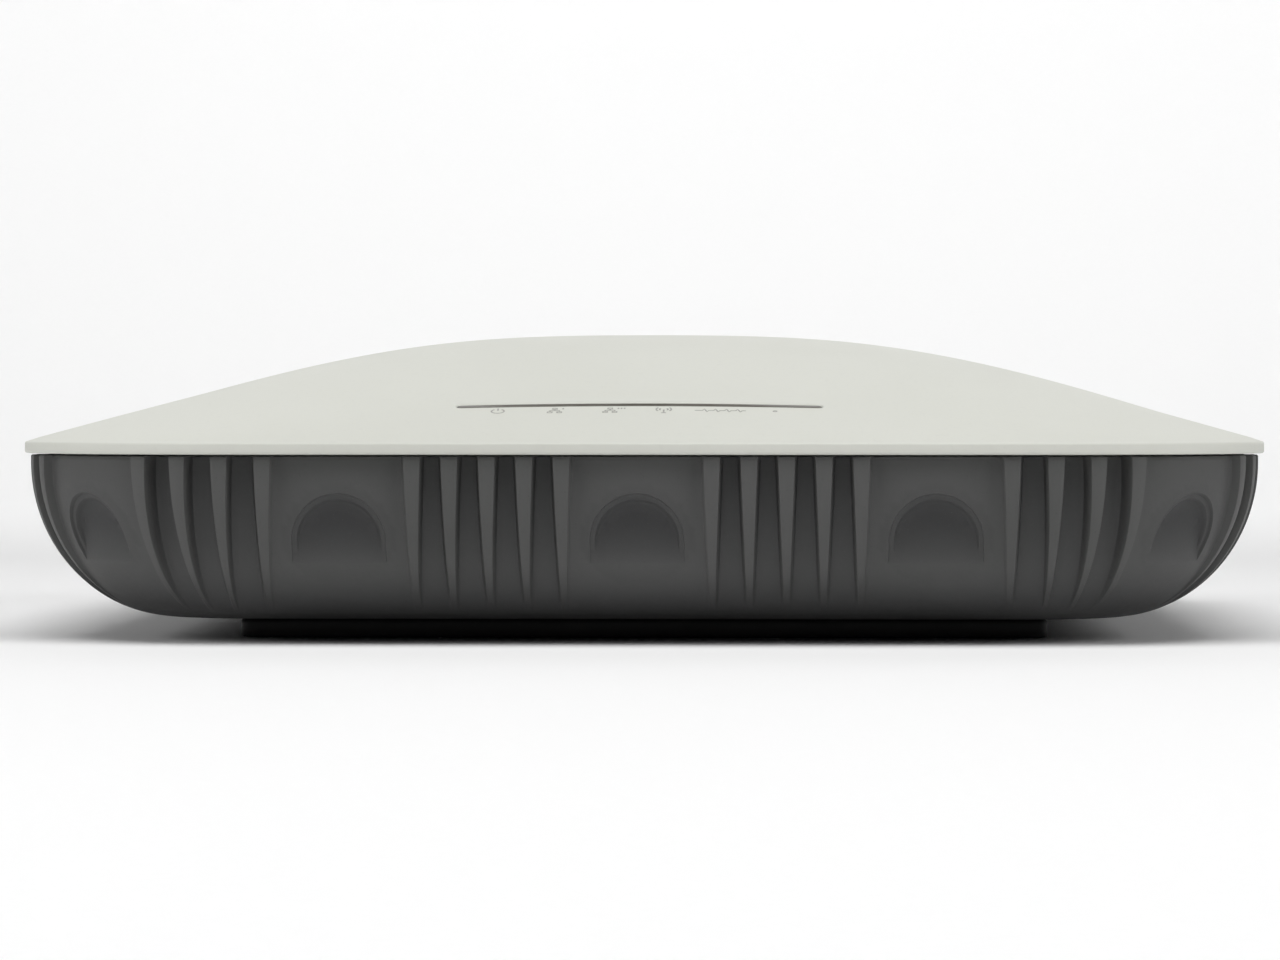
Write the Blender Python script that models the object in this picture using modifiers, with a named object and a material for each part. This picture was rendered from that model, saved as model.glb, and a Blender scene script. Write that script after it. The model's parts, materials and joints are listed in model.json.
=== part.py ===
"""A square ceiling access point, 230 mm across, drawn with its cover upwards.

A thin domed cover sits on a finned, bowl-shaped casting. The casting carries the main board, with the
chips that need cooling pressed down onto its pedestals. A reflector plate with the antennas lies over
the board, clamped between the casting's corner posts and the bosses under the cover. The cables come in
through a bay in the casting's floor, where the sockets and the reset button are. Four shouldered studs
under the casting hang in the keyholes of a pressed ceiling plate, which slides off to release them.

Metres, +Z up, origin at the centre of the underside. The indicator strip faces -Y.
"""

from math import asin, atan, atan2, cos, degrees, floor, hypot, pi, radians, sin, sqrt, tan

import bmesh
import bpy
from mathutils import Matrix, Vector

# ---- Clearances
TOUCH = 0.0003  # between pieces that rest on each other
PAST = 0.001  # how far a cutter reaches past the face it opens
SOCKET_FIT = 0.0004  # round a piece that passes through a window
LIP_FIT = 0.0006  # between the cover's lip and the casting, over the facets' own sag

# ---- Cover
COVER_WIDTH = 0.230
COVER_CORNER = 0.0442  # plan radius of the rim's corners
COVER_WALL = 0.0020
RIM_HEIGHT = 0.0022
RIM_EDGE = 0.0004  # break of the rim's upper and lower edges
CROWN_RISE = 0.0205
CROWN_LEVEL = 0.0335  # how far the crown keeps to level from its centre
CROWN_RUN = 0.0579  # how far it keeps to the rim's slope
CROWN_SLOPE = 0.36
CROWN_ROUNDING = 1.5  # how soon the level lines turn from square to round
LIP_DROP = 0.0024  # locating lip below the rim
LIP_WALL = 0.0015

# ---- Indicator strip
STRIP_LENGTH = 0.0662
STRIP_WIDTH = 0.0017
STRIP_FROM_EDGE = 0.0200
STRIP_DEPTH = 0.0030
GUIDE_WIDTH = 0.0030
LED_BOARD_WIDTH = 0.0060
LED_BOARD_THICKNESS = 0.0010

# ---- Finned casting
BODY_INSET = 0.0011  # how far the fins stand back from the rim
BODY_HEIGHT = 0.0300
BODY_STRAIGHT = 0.0014  # upright part of the wall, above the curve
BODY_TUCK = 0.0270  # how far the curve draws the wall in
BODY_WALL = 0.0022
FLOOR_WALL = 0.0025
FIN_HEIGHT = 0.0034
FIN_FADING = 3  # how late the fins lose their height, going down the wall
FIN_CREST_TOP = 0.0030
FIN_CREST_FOOT = 0.0008
FIN_FLANK = 0.0007  # draft of a fin's side
FIN_PITCH = 0.0068
FIN_FOOT_RISE = 0.0018  # height above the underside where the fins fade out
PANEL_HALF = 0.01335  # from a thumb pocket's centre to the next fin
CORNER_PANEL_HALF = 0.0146
CORNER_FIN_LEAD = 0.0041  # first fin of a corner's group, before the corner starts
PANEL_DEPTH_SHARE = 0.35  # how deep a panel lies, as a share of the fin height
POCKET_RADIUS = 0.0086
POCKET_TOP_DROP = 0.0066  # below the casting's top
POCKET_FOOT_DROP = 0.0195
POCKET_DEPTH = 0.0034
POCKET_RUN_OUT = 0.00215  # its straight sides beyond the foot

# ---- Ceiling plate
PLATE_HEIGHT = 0.0035
PLATE_SHEET = 0.0012
PLATE_RIM = 0.0015
PLATE_CORNER = 0.0040
PLATE_GAP = 0.0004  # to the casting's underside
PAD_RADIUS = 0.0080
PAD_FROM_STUD = 0.0170  # along each side, from a stud's resting place
PAD_FROM_EDGE = 0.0130
PAD_HOLE = 0.0023
CABLE_HOLE_MARGIN = 0.0010  # round the bay, on its left and right
CABLE_HOLE_END = 0.0020  # beyond the bay's ends, and beyond the slide's travel
SLIDE_TRAVEL = 0.0100
KEYHOLE_FACETS = (6, 12)  # round the slot's end, and round the entry

# ---- Studs
STUD_FROM_BAY = 0.0140
STUD_HEAD_RADIUS = 0.0040
STUD_HEAD_HEIGHT = 0.0011
STUD_NECK_RADIUS = 0.0023
STUD_THREAD_RADIUS = 0.0017
STUD_THREAD_LENGTH = 0.0048
STUD_BOSS_RADIUS = 0.0045
STUD_BOSS_WALL = 0.0018  # metal left over the blind hole

# ---- Main board
BOARD_FROM_POST = 0.0023
BOARD_CORNER = 0.0040
BOARD_THICKNESS = 0.0016
BOARD_SCREW_FROM_EDGE = 0.0060
BOARD_BOSS_RADIUS = 0.0036
SCREW_SHANK = 0.0015
SCREW_HEAD_RADIUS = 0.0028
SCREW_HEAD_HEIGHT = 0.0018
BOARD_SCREW_LENGTH = 0.0080

# ---- Cover screws
COVER_SCREW_FROM_EDGE = 0.0355
POST_RADIUS = 0.0052
POST_SINK = 0.0141  # depth of the counterbore
COVER_BOSS_RADIUS = 0.0042
COVER_SCREW_BITE = 0.0055  # screw length inside the cover's boss

# ---- Reflector plate and antennas
REFLECTOR_MARGIN = 0.0036  # inside the cover's lip
REFLECTOR_THICKNESS = 0.0008
DUAL_BAND_SIZE = (0.0260, 0.0060, 0.0090)
DUAL_BAND_SHEET = 0.0008
DUAL_BAND_PLACE = 0.0640
PATCH_SIZE = 0.0200
PATCH_SHEET = 0.0010
PATCH_LIFT = 0.0040
PATCH_PLACE = 0.0330
PATCH_STEM_RADIUS = 0.0024
SCAN_ANTENNA = (0.0280, 0.0010, 0.0060)
BEACON_ANTENNA = (0.0120, 0.0010, 0.0050)
SIDE_ANTENNA_INSET = 0.0200  # from the reflector's edge
CABLE_RADIUS = 0.0006
CABLE_RUN_IN = 0.0080  # from the antenna's foot in to where its cable starts
CABLE_STEPS = 8

# ---- Cable bay
BAY_X = 0.0620
BAY_Y = (-0.0140, 0.0300)
BAY_WALL = 0.0015
BAY_OVER_BOARD = 0.0014
BAY_FLANGE = 0.0030
BAY_FLANGE_THICKNESS = 0.0012

# ---- Sockets and the reset button, in the bay's rear wall
LAN_SIZE = (0.0160, 0.0210, 0.0135)
LAN_MOUTH = (0.0118, 0.0120, 0.0082)
LAN_LATCH = (0.0040, 0.0120, 0.0022)
LAN_ROOF = 0.0016
LAN_PLACES = (-0.0195, -0.0020)
DC_SIZE = (0.0090, 0.0130, 0.0110)
DC_PLACE = 0.0130
DC_BORE = 0.0028
DC_BORE_DEPTH = 0.0095
DC_PIN = 0.0008
DC_PIN_BACK = 0.0010  # from the socket's face to the pin's tip
RESET_PLACE = 0.0235
RESET_RADIUS = 0.0013
RESET_PROUD = 0.0006  # beyond the bay's wall
RESET_COLLAR = 0.0021
RESET_COLLAR_LENGTH = 0.0010
RESET_TRAVEL = 0.0008
RESET_DROP = 0.0070  # below the board
SWITCH_SIZE = (0.0060, 0.0050, 0.0090)

# ---- Chips and their cooling: a place and a size on the board
CHIP_HEIGHT = 0.0022
THERMAL_PAD = 0.0008
SHIELD_SIZE = (0.0300, 0.0260)
SHIELD_FROM_BAY = 0.0040
BESIDE_BAY = BAY_X / 2 + SHIELD_FROM_BAY + SHIELD_SIZE[0] / 2
COOLED_PIECES = {
    "soc": ((0.0, -0.0400), (0.0210, 0.0210)),
    "radio_24ghz": ((-BESIDE_BAY, 0.0080), SHIELD_SIZE),
    "radio_5ghz": ((BESIDE_BAY, 0.0080), SHIELD_SIZE),
    "radio_6ghz": ((0.0400, -0.0400), SHIELD_SIZE),
}
PEDESTAL_MARGIN = 0.0020
PAD_MARGIN = 0.0015
MEMORY_SIZE = (0.0110, 0.0090)
MEMORY_PLACES = ((-0.0200, -0.0330), (-0.0200, -0.0460))
FLASH_SIZE = (0.0110, 0.0100)
FLASH_PLACE = (0.0, -0.0600)
MEMORY_HEIGHT = 0.0011

# ---- Parts on top of the board: a low corner and a size
TALLEST_PART = 0.0090
OVER_PARTS = 0.0020  # from the tallest part to the reflector
BOXED_PARTS = {
    "poe_transformer": ((-0.0500, 0.0380), (0.0150, 0.0150, TALLEST_PART)),
    "lan_transformer": ((-0.0180, 0.0400), (0.0170, 0.0080, 0.0045)),
    "power_inductor": ((0.0400, 0.0380), (0.0120, 0.0120, 0.0060)),
}
CAPACITOR_RADIUS = 0.0040
CAPACITOR_PLACES = ((0.0160, 0.0440), (0.0280, 0.0440))

# ---- Heights that follow from the sizes above
BODY_BOTTOM = PLATE_HEIGHT + PLATE_GAP
BODY_TOP = BODY_BOTTOM + BODY_HEIGHT
FLOOR_TOP = BODY_BOTTOM + FLOOR_WALL
RIM_BOTTOM = BODY_TOP + TOUCH
RIM_TOP = RIM_BOTTOM + RIM_HEIGHT
POST_TOP = BODY_TOP - TOUCH
REFLECTOR_BOTTOM = POST_TOP + TOUCH
REFLECTOR_TOP = REFLECTOR_BOTTOM + REFLECTOR_THICKNESS
OVER_BOARD = REFLECTOR_BOTTOM - OVER_PARTS - TALLEST_PART
BOARD_TOP = OVER_BOARD - TOUCH
BOARD_BOTTOM = BOARD_TOP - BOARD_THICKNESS
UNDER_BOARD = BOARD_BOTTOM - TOUCH
OVER_REFLECTOR = REFLECTOR_TOP + TOUCH
LED_BOARD_TOP = OVER_REFLECTOR + LED_BOARD_THICKNESS

# ---- Plan sizes that follow
COVER_HALF = COVER_WIDTH / 2
BODY_HALF = COVER_HALF - BODY_INSET
BODY_CORNER = COVER_CORNER - BODY_INSET
BODY_FLAT = BODY_HALF - BODY_CORNER
CAVITY_INSET = FIN_HEIGHT + BODY_WALL
LIP_INSET = BODY_INSET + CAVITY_INSET + LIP_FIT
CORNER_LENGTH = BODY_CORNER * pi / 4  # from a corner's start to its middle
CORNER_GROUP = BODY_FLAT - CORNER_FIN_LEAD  # first fin of a corner's group, from a side's middle
COVER_SCREW_PLACE = COVER_HALF - COVER_SCREW_FROM_EDGE
BOARD_HALF = COVER_SCREW_PLACE - POST_RADIUS - BOARD_FROM_POST
BOARD_SCREW_PLACE = BOARD_HALF - BOARD_SCREW_FROM_EDGE
STUD_PLACE = BAY_X / 2 + STUD_FROM_BAY
PAD_PLACE = STUD_PLACE + PAD_FROM_STUD
PLATE_HALF = PAD_PLACE + PAD_FROM_EDGE
REFLECTOR_HALF = COVER_HALF - LIP_INSET - LIP_WALL - REFLECTOR_MARGIN
REFLECTOR_CORNER = COVER_CORNER - LIP_INSET - LIP_WALL - REFLECTOR_MARGIN
STRIP_Y = STRIP_FROM_EDGE - COVER_HALF
BAY_REAR = BAY_Y[1] - BAY_WALL  # the bay's rear wall, seen from inside
CORNERS = ((-1, -1), (1, -1), (1, 1), (-1, 1))

# ---- Fineness of the facets
CORNER_FACETS = 7
FLAT_FACETS = 4
CROWN_SHARES = (0.15, 0.32, 0.49, 0.66, 0.81, 0.92)
BOWL_ANGLES = (0, 18, 36, 54)
CAVITY_ANGLES = (0, 22, 44, 66, 90)
CAVITY_FACETS = 8
ROUND_FACETS = 16
BORE_FACETS = 12


# ---------------------------------------------------------------- scene, materials and basic solids
def clear_scene():
    for obj in list(bpy.data.objects):
        bpy.data.objects.remove(obj, do_unlink=True)


def make_collection(name):
    collection = bpy.data.collections.new(name)
    bpy.context.scene.collection.children.link(collection)
    return collection


def make_material(name, colour, roughness, metallic=0.0):
    material = bpy.data.materials.new(name)
    material.use_nodes = True
    shader = material.node_tree.nodes["Principled BSDF"]
    shader.inputs["Base Color"].default_value = (*colour, 1.0)
    shader.inputs["Roughness"].default_value = roughness
    shader.inputs["Metallic"].default_value = metallic
    return material


clear_scene()
PARTS = make_collection("ceiling_access_point")
CUTTERS = make_collection("cutters")
CUTTERS.hide_render = True

IVORY_PLASTIC = make_material("ivory_plastic", (0.68, 0.68, 0.63), 0.45)
SMOKED_LENS = make_material("smoked_lens", (0.02, 0.02, 0.02), 0.2)
CLEAR_PLASTIC = make_material("clear_plastic", (0.85, 0.87, 0.88), 0.15)
CAST_CHARCOAL = make_material("cast_charcoal", (0.075, 0.075, 0.078), 0.5, 0.3)
BLACK_STEEL = make_material("black_steel", (0.01, 0.01, 0.011), 0.5, 0.4)
BRIGHT_STEEL = make_material("bright_steel", (0.55, 0.55, 0.57), 0.3, 1.0)
BLACK_PLASTIC = make_material("black_plastic", (0.015, 0.015, 0.016), 0.5)
BOARD_GREEN = make_material("board_green", (0.02, 0.12, 0.06), 0.4)
CHIP_BLACK = make_material("chip_black", (0.02, 0.02, 0.022), 0.4)
PAD_GREY = make_material("pad_grey", (0.35, 0.38, 0.42), 0.8)
TIN_PLATE = make_material("tin_plate", (0.62, 0.62, 0.60), 0.3, 1.0)
COPPER_ALLOY = make_material("copper_alloy", (0.60, 0.36, 0.18), 0.35, 1.0)
CABLE_BLACK = make_material("cable_black", (0.02, 0.02, 0.02), 0.55)


def add_object(name, mesh, material, collection=None):
    obj = bpy.data.objects.new(name, mesh)
    (collection or PARTS).objects.link(obj)
    if material:
        mesh.materials.append(material)
    return obj


def finish_mesh(name, bm, material, collection=None, smooth=False):
    """Makes an object of the bmesh, with its faces turned outwards."""
    bmesh.ops.recalc_face_normals(bm, faces=bm.faces)
    if bm.calc_volume(signed=True) < 0:
        bmesh.ops.reverse_faces(bm, faces=bm.faces)
    mesh = bpy.data.meshes.new(name)
    bm.to_mesh(mesh)
    bm.free()
    if smooth:
        mesh.shade_smooth()
        mesh.set_sharp_from_angle(angle=radians(35))
    return add_object(name, mesh, material, collection)


def add_box(bm, low, high):
    middle = (Vector(low) + Vector(high)) / 2
    size = Vector(high) - Vector(low)
    placed = Matrix.Translation(middle) @ Matrix.Diagonal((*size, 1.0))
    return bmesh.ops.create_cube(bm, size=1.0, matrix=placed)["verts"]


def add_cylinder(bm, radius, start, end, facets=ROUND_FACETS):
    """A closed cylinder from one point to another."""
    start, end = Vector(start), Vector(end)
    axis = end - start
    turn = Vector((0, 0, 1)).rotation_difference(axis).to_matrix().to_4x4()
    placed = Matrix.Translation((start + end) / 2) @ turn
    made = bmesh.ops.create_cone(
        bm,
        cap_ends=True,
        segments=facets,
        radius1=radius,
        radius2=radius,
        depth=axis.length,
        matrix=placed,
    )
    return made["verts"]


def make_box(name, low, high, material, collection=None):
    bm = bmesh.new()
    add_box(bm, low, high)
    return finish_mesh(name, bm, material, collection)


def make_boxes(name, boxes, collection=None, material=None):
    bm = bmesh.new()
    for low, high in boxes:
        add_box(bm, low, high)
    return finish_mesh(name, bm, material, collection)


def make_cylinders(name, cylinders, collection=None, material=None, facets=ROUND_FACETS):
    """Separate cylinders in one mesh: each is a radius, a start and an end."""
    bm = bmesh.new()
    for radius, start, end in cylinders:
        add_cylinder(bm, radius, start, end, facets)
    return finish_mesh(name, bm, material, collection, smooth=True)


def arc_points(x, y, radius, first, last, facets):
    """Points on a circle from one angle to another, in degrees, with both ends."""
    turns = [radians(first + (last - first) * step / facets) for step in range(facets + 1)]
    return [(x + radius * cos(turn), y + radius * sin(turn)) for turn in turns]


def rounded_rectangle(low, high, corner, facets=5):
    """Outline points, anticlockwise from the right-hand side's foot."""
    middles = (
        (high[0] - corner, low[1] + corner, -90),
        (high[0] - corner, high[1] - corner, 0),
        (low[0] + corner, high[1] - corner, 90),
        (low[0] + corner, low[1] + corner, 180),
    )
    points = []
    for x, y, first in middles:
        points += arc_points(x, y, corner, first, first + 90, facets)
    return points


def extruded_outline(name, points, thickness, material, place=None, collection=None):
    """A flat outline, filled and given its thickness about its own plane, as a mesh."""
    curve = bpy.data.curves.new(name, "CURVE")
    curve.dimensions = "2D"
    curve.fill_mode = "BOTH"
    curve.extrude = thickness / 2
    spline = curve.splines.new("POLY")
    spline.points.add(len(points) - 1)
    for target, (x, y) in zip(spline.points, points):
        target.co = (x, y, 0, 1)
    spline.use_cyclic_u = True
    drawn = bpy.data.objects.new(name + "_outline", curve)
    drawn.matrix_world = place or Matrix()
    (collection or PARTS).objects.link(drawn)
    graph = bpy.context.evaluated_depsgraph_get()
    mesh = bpy.data.meshes.new_from_object(drawn.evaluated_get(graph))
    bm = bmesh.new()
    bm.from_mesh(mesh)
    bmesh.ops.remove_doubles(bm, verts=bm.verts, dist=1e-6)
    bm.transform(drawn.matrix_world)
    bpy.data.objects.remove(drawn)
    bpy.data.curves.remove(curve)
    return finish_mesh(name, bm, material, collection)


def make_plate(name, points, bottom, top, material, collection=None):
    place = Matrix.Translation((0, 0, (bottom + top) / 2))
    return extruded_outline(name, points, top - bottom, material, place, collection)


def turned_piece(name, profile, place, material, facets=ROUND_FACETS):
    """A turned piece about a vertical axis: the profile runs from the axis at the top, down its outer
    side, to the axis at the foot."""
    mesh = bpy.data.meshes.new(name)
    mesh.from_pydata(
        [(radius, 0, height) for radius, height in profile],
        [(i, i + 1) for i in range(len(profile) - 1)],
        [],
    )
    obj = add_object(name, mesh, material)
    obj.location = place
    turn = obj.modifiers.new("turn", "SCREW")
    turn.steps = turn.render_steps = facets
    turn.use_merge_vertices = True
    turn.merge_threshold = 1e-5
    turn.use_smooth_shade = False
    return obj


def combine(target, other, operation):
    change = target.modifiers.new(other.name, "BOOLEAN")
    change.operation = operation
    change.solver = "EXACT"
    change.object = other
    other.hide_render = True
    other.display_type = "WIRE"


def cut(target, other):
    combine(target, other, "DIFFERENCE")


def join(target, other):
    combine(target, other, "UNION")


def loft(name, rings, material, collection=None, smooth=False):
    """A closed skin over rings of equally many points. A ring of one point closes an end."""
    bm = bmesh.new()
    made = [[bm.verts.new(point) for point in ring] for ring in rings]
    for upper, lower in zip(made, made[1:]):
        count = max(len(upper), len(lower))
        for i in range(count):
            corners = [lower[i % len(lower)], lower[(i + 1) % len(lower)]]
            corners += [upper[(i + 1) % len(upper)], upper[i % len(upper)]]
            bm.faces.new(list(dict.fromkeys(corners)))
    for ring in (made[0], made[-1]):
        if len(ring) > 2:
            bm.faces.new(ring)
    return finish_mesh(name, bm, material, collection, smooth)


# ---------------------------------------------------------------- the cover's form
def outline_reach(angle, half, corner):
    """From the centre to a rounded square's outline, in one direction."""
    along, across = abs(cos(angle)), abs(sin(angle))
    longer, shorter = max(along, across), min(along, across)
    flat = half - corner
    if shorter * half <= flat * longer:
        return half / longer
    middle = flat * (longer + shorter)
    return middle + sqrt(middle * middle - 2 * flat * flat + corner * corner)


def bezier(share, points):
    rest = 1 - share
    weights = (rest**3, 3 * rest**2 * share, 3 * rest * share**2, share**3)
    return sum(weight * point for weight, point in zip(weights, points))


def solve_rising(value_at, wanted, low=0.0, high=1.0):
    """Where a rising function reaches a value."""
    for _ in range(40):
        middle = (low + high) / 2
        if value_at(middle) < wanted:
            low = middle
        else:
            high = middle
    return (low + high) / 2


def crown_rise(share):
    """Height over the rim at a share of the way from the centre to the rim."""
    runs = (0.0, CROWN_LEVEL, COVER_HALF - CROWN_RUN, COVER_HALF)
    rises = (CROWN_RISE, CROWN_RISE, CROWN_SLOPE * CROWN_RUN, 0.0)
    along = solve_rising(lambda u: bezier(u, runs), share * COVER_HALF)
    return bezier(along, rises)


def crown_reach(share, angle):
    """Plan distance of a level line, which is round near the centre and follows the rim at the edge."""
    square = share**CROWN_ROUNDING
    rim = outline_reach(angle, COVER_HALF, COVER_CORNER)
    return share * (COVER_HALF * (1 - square) + rim * square)


def crown_height(x, y):
    angle = atan2(y, x)
    share = solve_rising(lambda s: crown_reach(s, angle), hypot(x, y))
    return RIM_TOP + crown_rise(share)


def rim_angles():
    """Directions of the cover's facets: even along the flats and round the corners."""
    flat = COVER_HALF - COVER_CORNER
    angles = []
    for side in range(4):
        for step in range(FLAT_FACETS):
            along = -flat + 2 * flat * step / FLAT_FACETS
            angles.append(atan2(along, COVER_HALF) + side * pi / 2)
        for step in range(CORNER_FACETS):
            turn = pi / 2 * step / CORNER_FACETS
            x, y = flat + COVER_CORNER * cos(turn), flat + COVER_CORNER * sin(turn)
            angles.append(atan2(y, x) + side * pi / 2)
    return angles


def rim_ring(inset, height):
    """A loop that runs round the cover at one inset from its rim, at one height or on the crown."""
    ring = []
    for angle in rim_angles():
        reach = outline_reach(angle, COVER_HALF - inset, COVER_CORNER - inset)
        x, y = reach * cos(angle), reach * sin(angle)
        ring.append((x, y, height(x, y) if callable(height) else height))
    return ring


def crown_ring(share, below):
    height = RIM_TOP + crown_rise(share) - below
    reaches = [(crown_reach(share, angle), angle) for angle in rim_angles()]
    return [(reach * cos(angle), reach * sin(angle), height) for reach, angle in reaches]


def on_crown(name, points, top, bottom, material, collection=None):
    """A prism over a plan outline whose ends follow the crown. Each end is an offset from the crown's
    outer face, or a function that gives a height."""

    def ring(level):
        if callable(level):
            return [(x, y, level(x, y)) for x, y in points]
        return [(x, y, crown_height(x, y) + level) for x, y in points]

    return loft(name, [ring(top), ring(bottom)], material, collection)


def strip_points(length, width, pieces=8, facets=4):
    """Plan outline of the indicator strip: long, thin and round-ended."""
    radius = width / 2
    straight = length / 2 - radius
    points = []
    for side, first in ((1, -90), (-1, 90)):
        points += arc_points(side * straight, STRIP_Y, radius, first, first + 180, facets)
        for step in range(1, pieces):
            along = side * straight * (1 - 2 * step / pieces)
            points.append((along, STRIP_Y + side * radius))
    return points


def make_cover():
    edge = RIM_EDGE
    rings = [[(0, 0, RIM_TOP + CROWN_RISE)]]
    rings += [crown_ring(share, 0) for share in CROWN_SHARES]
    rings += [rim_ring(edge, RIM_TOP), rim_ring(0, RIM_TOP - edge), rim_ring(0, RIM_BOTTOM + edge)]
    rings += [rim_ring(edge, RIM_BOTTOM), rim_ring(LIP_INSET, RIM_BOTTOM)]
    rings += [rim_ring(LIP_INSET, RIM_BOTTOM - LIP_DROP)]
    inner = LIP_INSET + LIP_WALL
    rings += [rim_ring(inner, RIM_BOTTOM - LIP_DROP)]
    rings += [rim_ring(inner, lambda x, y: crown_height(x, y) - COVER_WALL)]
    rings += [crown_ring(share, COVER_WALL) for share in reversed(CROWN_SHARES[:-1])]
    rings += [[(0, 0, RIM_TOP + CROWN_RISE - COVER_WALL)]]
    cover = loft("top_cover", rings, IVORY_PLASTIC, smooth=True)

    for index, (sx, sy) in enumerate(CORNERS):
        x, y = sx * COVER_SCREW_PLACE, sy * COVER_SCREW_PLACE
        foot = OVER_REFLECTOR
        outline = arc_points(x, y, COVER_BOSS_RADIUS, 0, 360, ROUND_FACETS)[:-1]
        name, half_wall = f"cover_boss_{index + 1}", -COVER_WALL / 2
        join(cover, on_crown(name, outline, half_wall, lambda x, y: foot, None, CUTTERS))
    bores = []
    for sx, sy in CORNERS:
        x, y = sx * COVER_SCREW_PLACE, sy * COVER_SCREW_PLACE
        deep = OVER_REFLECTOR + COVER_SCREW_BITE + TOUCH
        bores.append((SCREW_SHANK + TOUCH, (x, y, OVER_REFLECTOR - PAST), (x, y, deep)))
    cut(cover, make_cylinders("cover_boss_bores", bores, CUTTERS, facets=BORE_FACETS))

    slot = strip_points(STRIP_LENGTH + 2 * TOUCH, STRIP_WIDTH + 2 * TOUCH)
    beyond = 2 * COVER_WALL
    cut(cover, on_crown("strip_slot", slot, beyond, -beyond, None, CUTTERS))


def make_indicator():
    strip = strip_points(STRIP_LENGTH, STRIP_WIDTH)
    on_crown("led_lens", strip, 0.0, -STRIP_DEPTH, SMOKED_LENS)
    guide_length = STRIP_LENGTH - 2 * GUIDE_WIDTH
    guide = strip_points(guide_length, GUIDE_WIDTH)
    guide_foot = LED_BOARD_TOP + TOUCH
    on_crown("light_guide", guide, -STRIP_DEPTH - TOUCH, lambda x, y: guide_foot, CLEAR_PLASTIC)
    half_x, half_y = STRIP_LENGTH / 2, LED_BOARD_WIDTH / 2
    low = (-half_x, STRIP_Y - half_y, OVER_REFLECTOR)
    make_box("led_board", low, (half_x, STRIP_Y + half_y, LED_BOARD_TOP), BOARD_GREEN)


# ---------------------------------------------------------------- the finned casting
def curve_height():
    """Height of the casting's curved wall, under its short upright part."""
    return BODY_HEIGHT - BODY_STRAIGHT


def wall_inset(height):
    """How far the outer wall has drawn in, at a height above the casting's underside."""
    drop = max(0.0, curve_height() - height)
    share = min(1.0, drop / curve_height())
    return BODY_TUCK * (1 - sqrt(1 - share * share))


def fin_places():
    """Fin centres as distances along the outline from a side's middle, for half a side."""
    flat_room = CORNER_GROUP - 3 * PANEL_HALF
    corner_room = BODY_FLAT + CORNER_LENGTH - CORNER_PANEL_HALF - CORNER_GROUP
    places = []
    for start, room in ((PANEL_HALF, flat_room), (CORNER_GROUP, corner_room)):
        gaps = max(1, floor(room / FIN_PITCH + 0.5))
        places.append([start + room * step / gaps for step in range(gaps + 1)])
    return places


def pocket_places():
    """Thumb pockets along half a side: its middle, beside the corner, and the corner's middle."""
    return (0.0, CORNER_GROUP - PANEL_HALF, BODY_FLAT + CORNER_LENGTH)


def outline_station(along):
    """A distance along a side's outline as a place on the flat and a turn round the corner."""
    side = -1 if along < 0 else 1
    beyond = abs(along) - BODY_FLAT
    if beyond <= 0:
        return along, 0.0
    return side * BODY_FLAT, side * beyond / BODY_CORNER


def outline_point(along, inset, quarter, height):
    """A point of the wall: along its outline, drawn in by an inset, on one of the four sides."""
    flat, turn = outline_station(along)
    radius = BODY_CORNER - inset
    x = flat + radius * sin(turn)
    y = -(BODY_FLAT + radius * cos(turn))
    for _ in range(quarter):
        x, y = -y, x
    return x, y, height


def fin_columns():
    """Columns of half a side, as (place, steps of half a crest, steps of a flank, depth share)."""
    flat_fins, corner_fins = fin_places()
    beside_panel = {flat_fins[0]: -1, flat_fins[-1]: 1, corner_fins[0]: -1, corner_fins[-1]: 1}
    columns = []
    for place in flat_fins + corner_fins:
        for side in (-1, 1):
            share = PANEL_DEPTH_SHARE if beside_panel.get(place) == side else 1.0
            root, crest = (place, side, side, share), (place, side, 0, 0.0)
            columns += [root, crest] if side < 0 else [crest, root]
    columns.append((BODY_FLAT + CORNER_LENGTH - CORNER_PANEL_HALF / 3, 0, 0, PANEL_DEPTH_SHARE))
    return columns


def wall_ring(height):
    """The finned outline at one height above the casting's underside."""
    fin_span = BODY_HEIGHT - FIN_FOOT_RISE
    fade = min(1.0, max(0.0, (BODY_HEIGHT - height) / fin_span))
    crest = FIN_CREST_TOP + (FIN_CREST_FOOT - FIN_CREST_TOP) * fade
    relief = FIN_HEIGHT * (1 - fade**FIN_FADING)
    inset = wall_inset(height)
    half_side = fin_columns()
    mirrored = [(-place, -crests, -flanks, share) for place, crests, flanks, share in half_side[::-1]]
    ring = []
    for quarter in range(4):
        for place, crests, flanks, share in mirrored + half_side:
            along = place + crests * crest / 2 + flanks * FIN_FLANK
            depth = inset + relief * share
            ring.append(outline_point(along, depth, quarter, BODY_BOTTOM + height))
    return ring


def cavity_ring(height, inset):
    half, corner = BODY_HALF - inset, BODY_CORNER - inset
    outline = rounded_rectangle((-half, -half), (half, half), corner, CAVITY_FACETS)
    return [(x, y, height) for x, y in outline]


def make_cavity():
    """The space inside the casting, open upwards."""
    top = BODY_BOTTOM + curve_height()
    rings = [cavity_ring(BODY_TOP + PAST, CAVITY_INSET)]
    tuck = BODY_TUCK - CAVITY_INSET + BODY_WALL
    for degrees in CAVITY_ANGLES:
        turn = radians(degrees)
        height = top - (top - FLOOR_TOP) * sin(turn)
        rings.append(cavity_ring(height, CAVITY_INSET + tuck * (1 - cos(turn))))
    return loft("casting_cavity", rings, None, CUTTERS)


def pocket_outline(below, facets=8):
    """A half-round head on straight sides, about the head's centre."""
    head = arc_points(0, 0, POCKET_RADIUS, 0, 180, facets)
    return head + [(-POCKET_RADIUS, -below), (POCKET_RADIUS, -below)]


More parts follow.
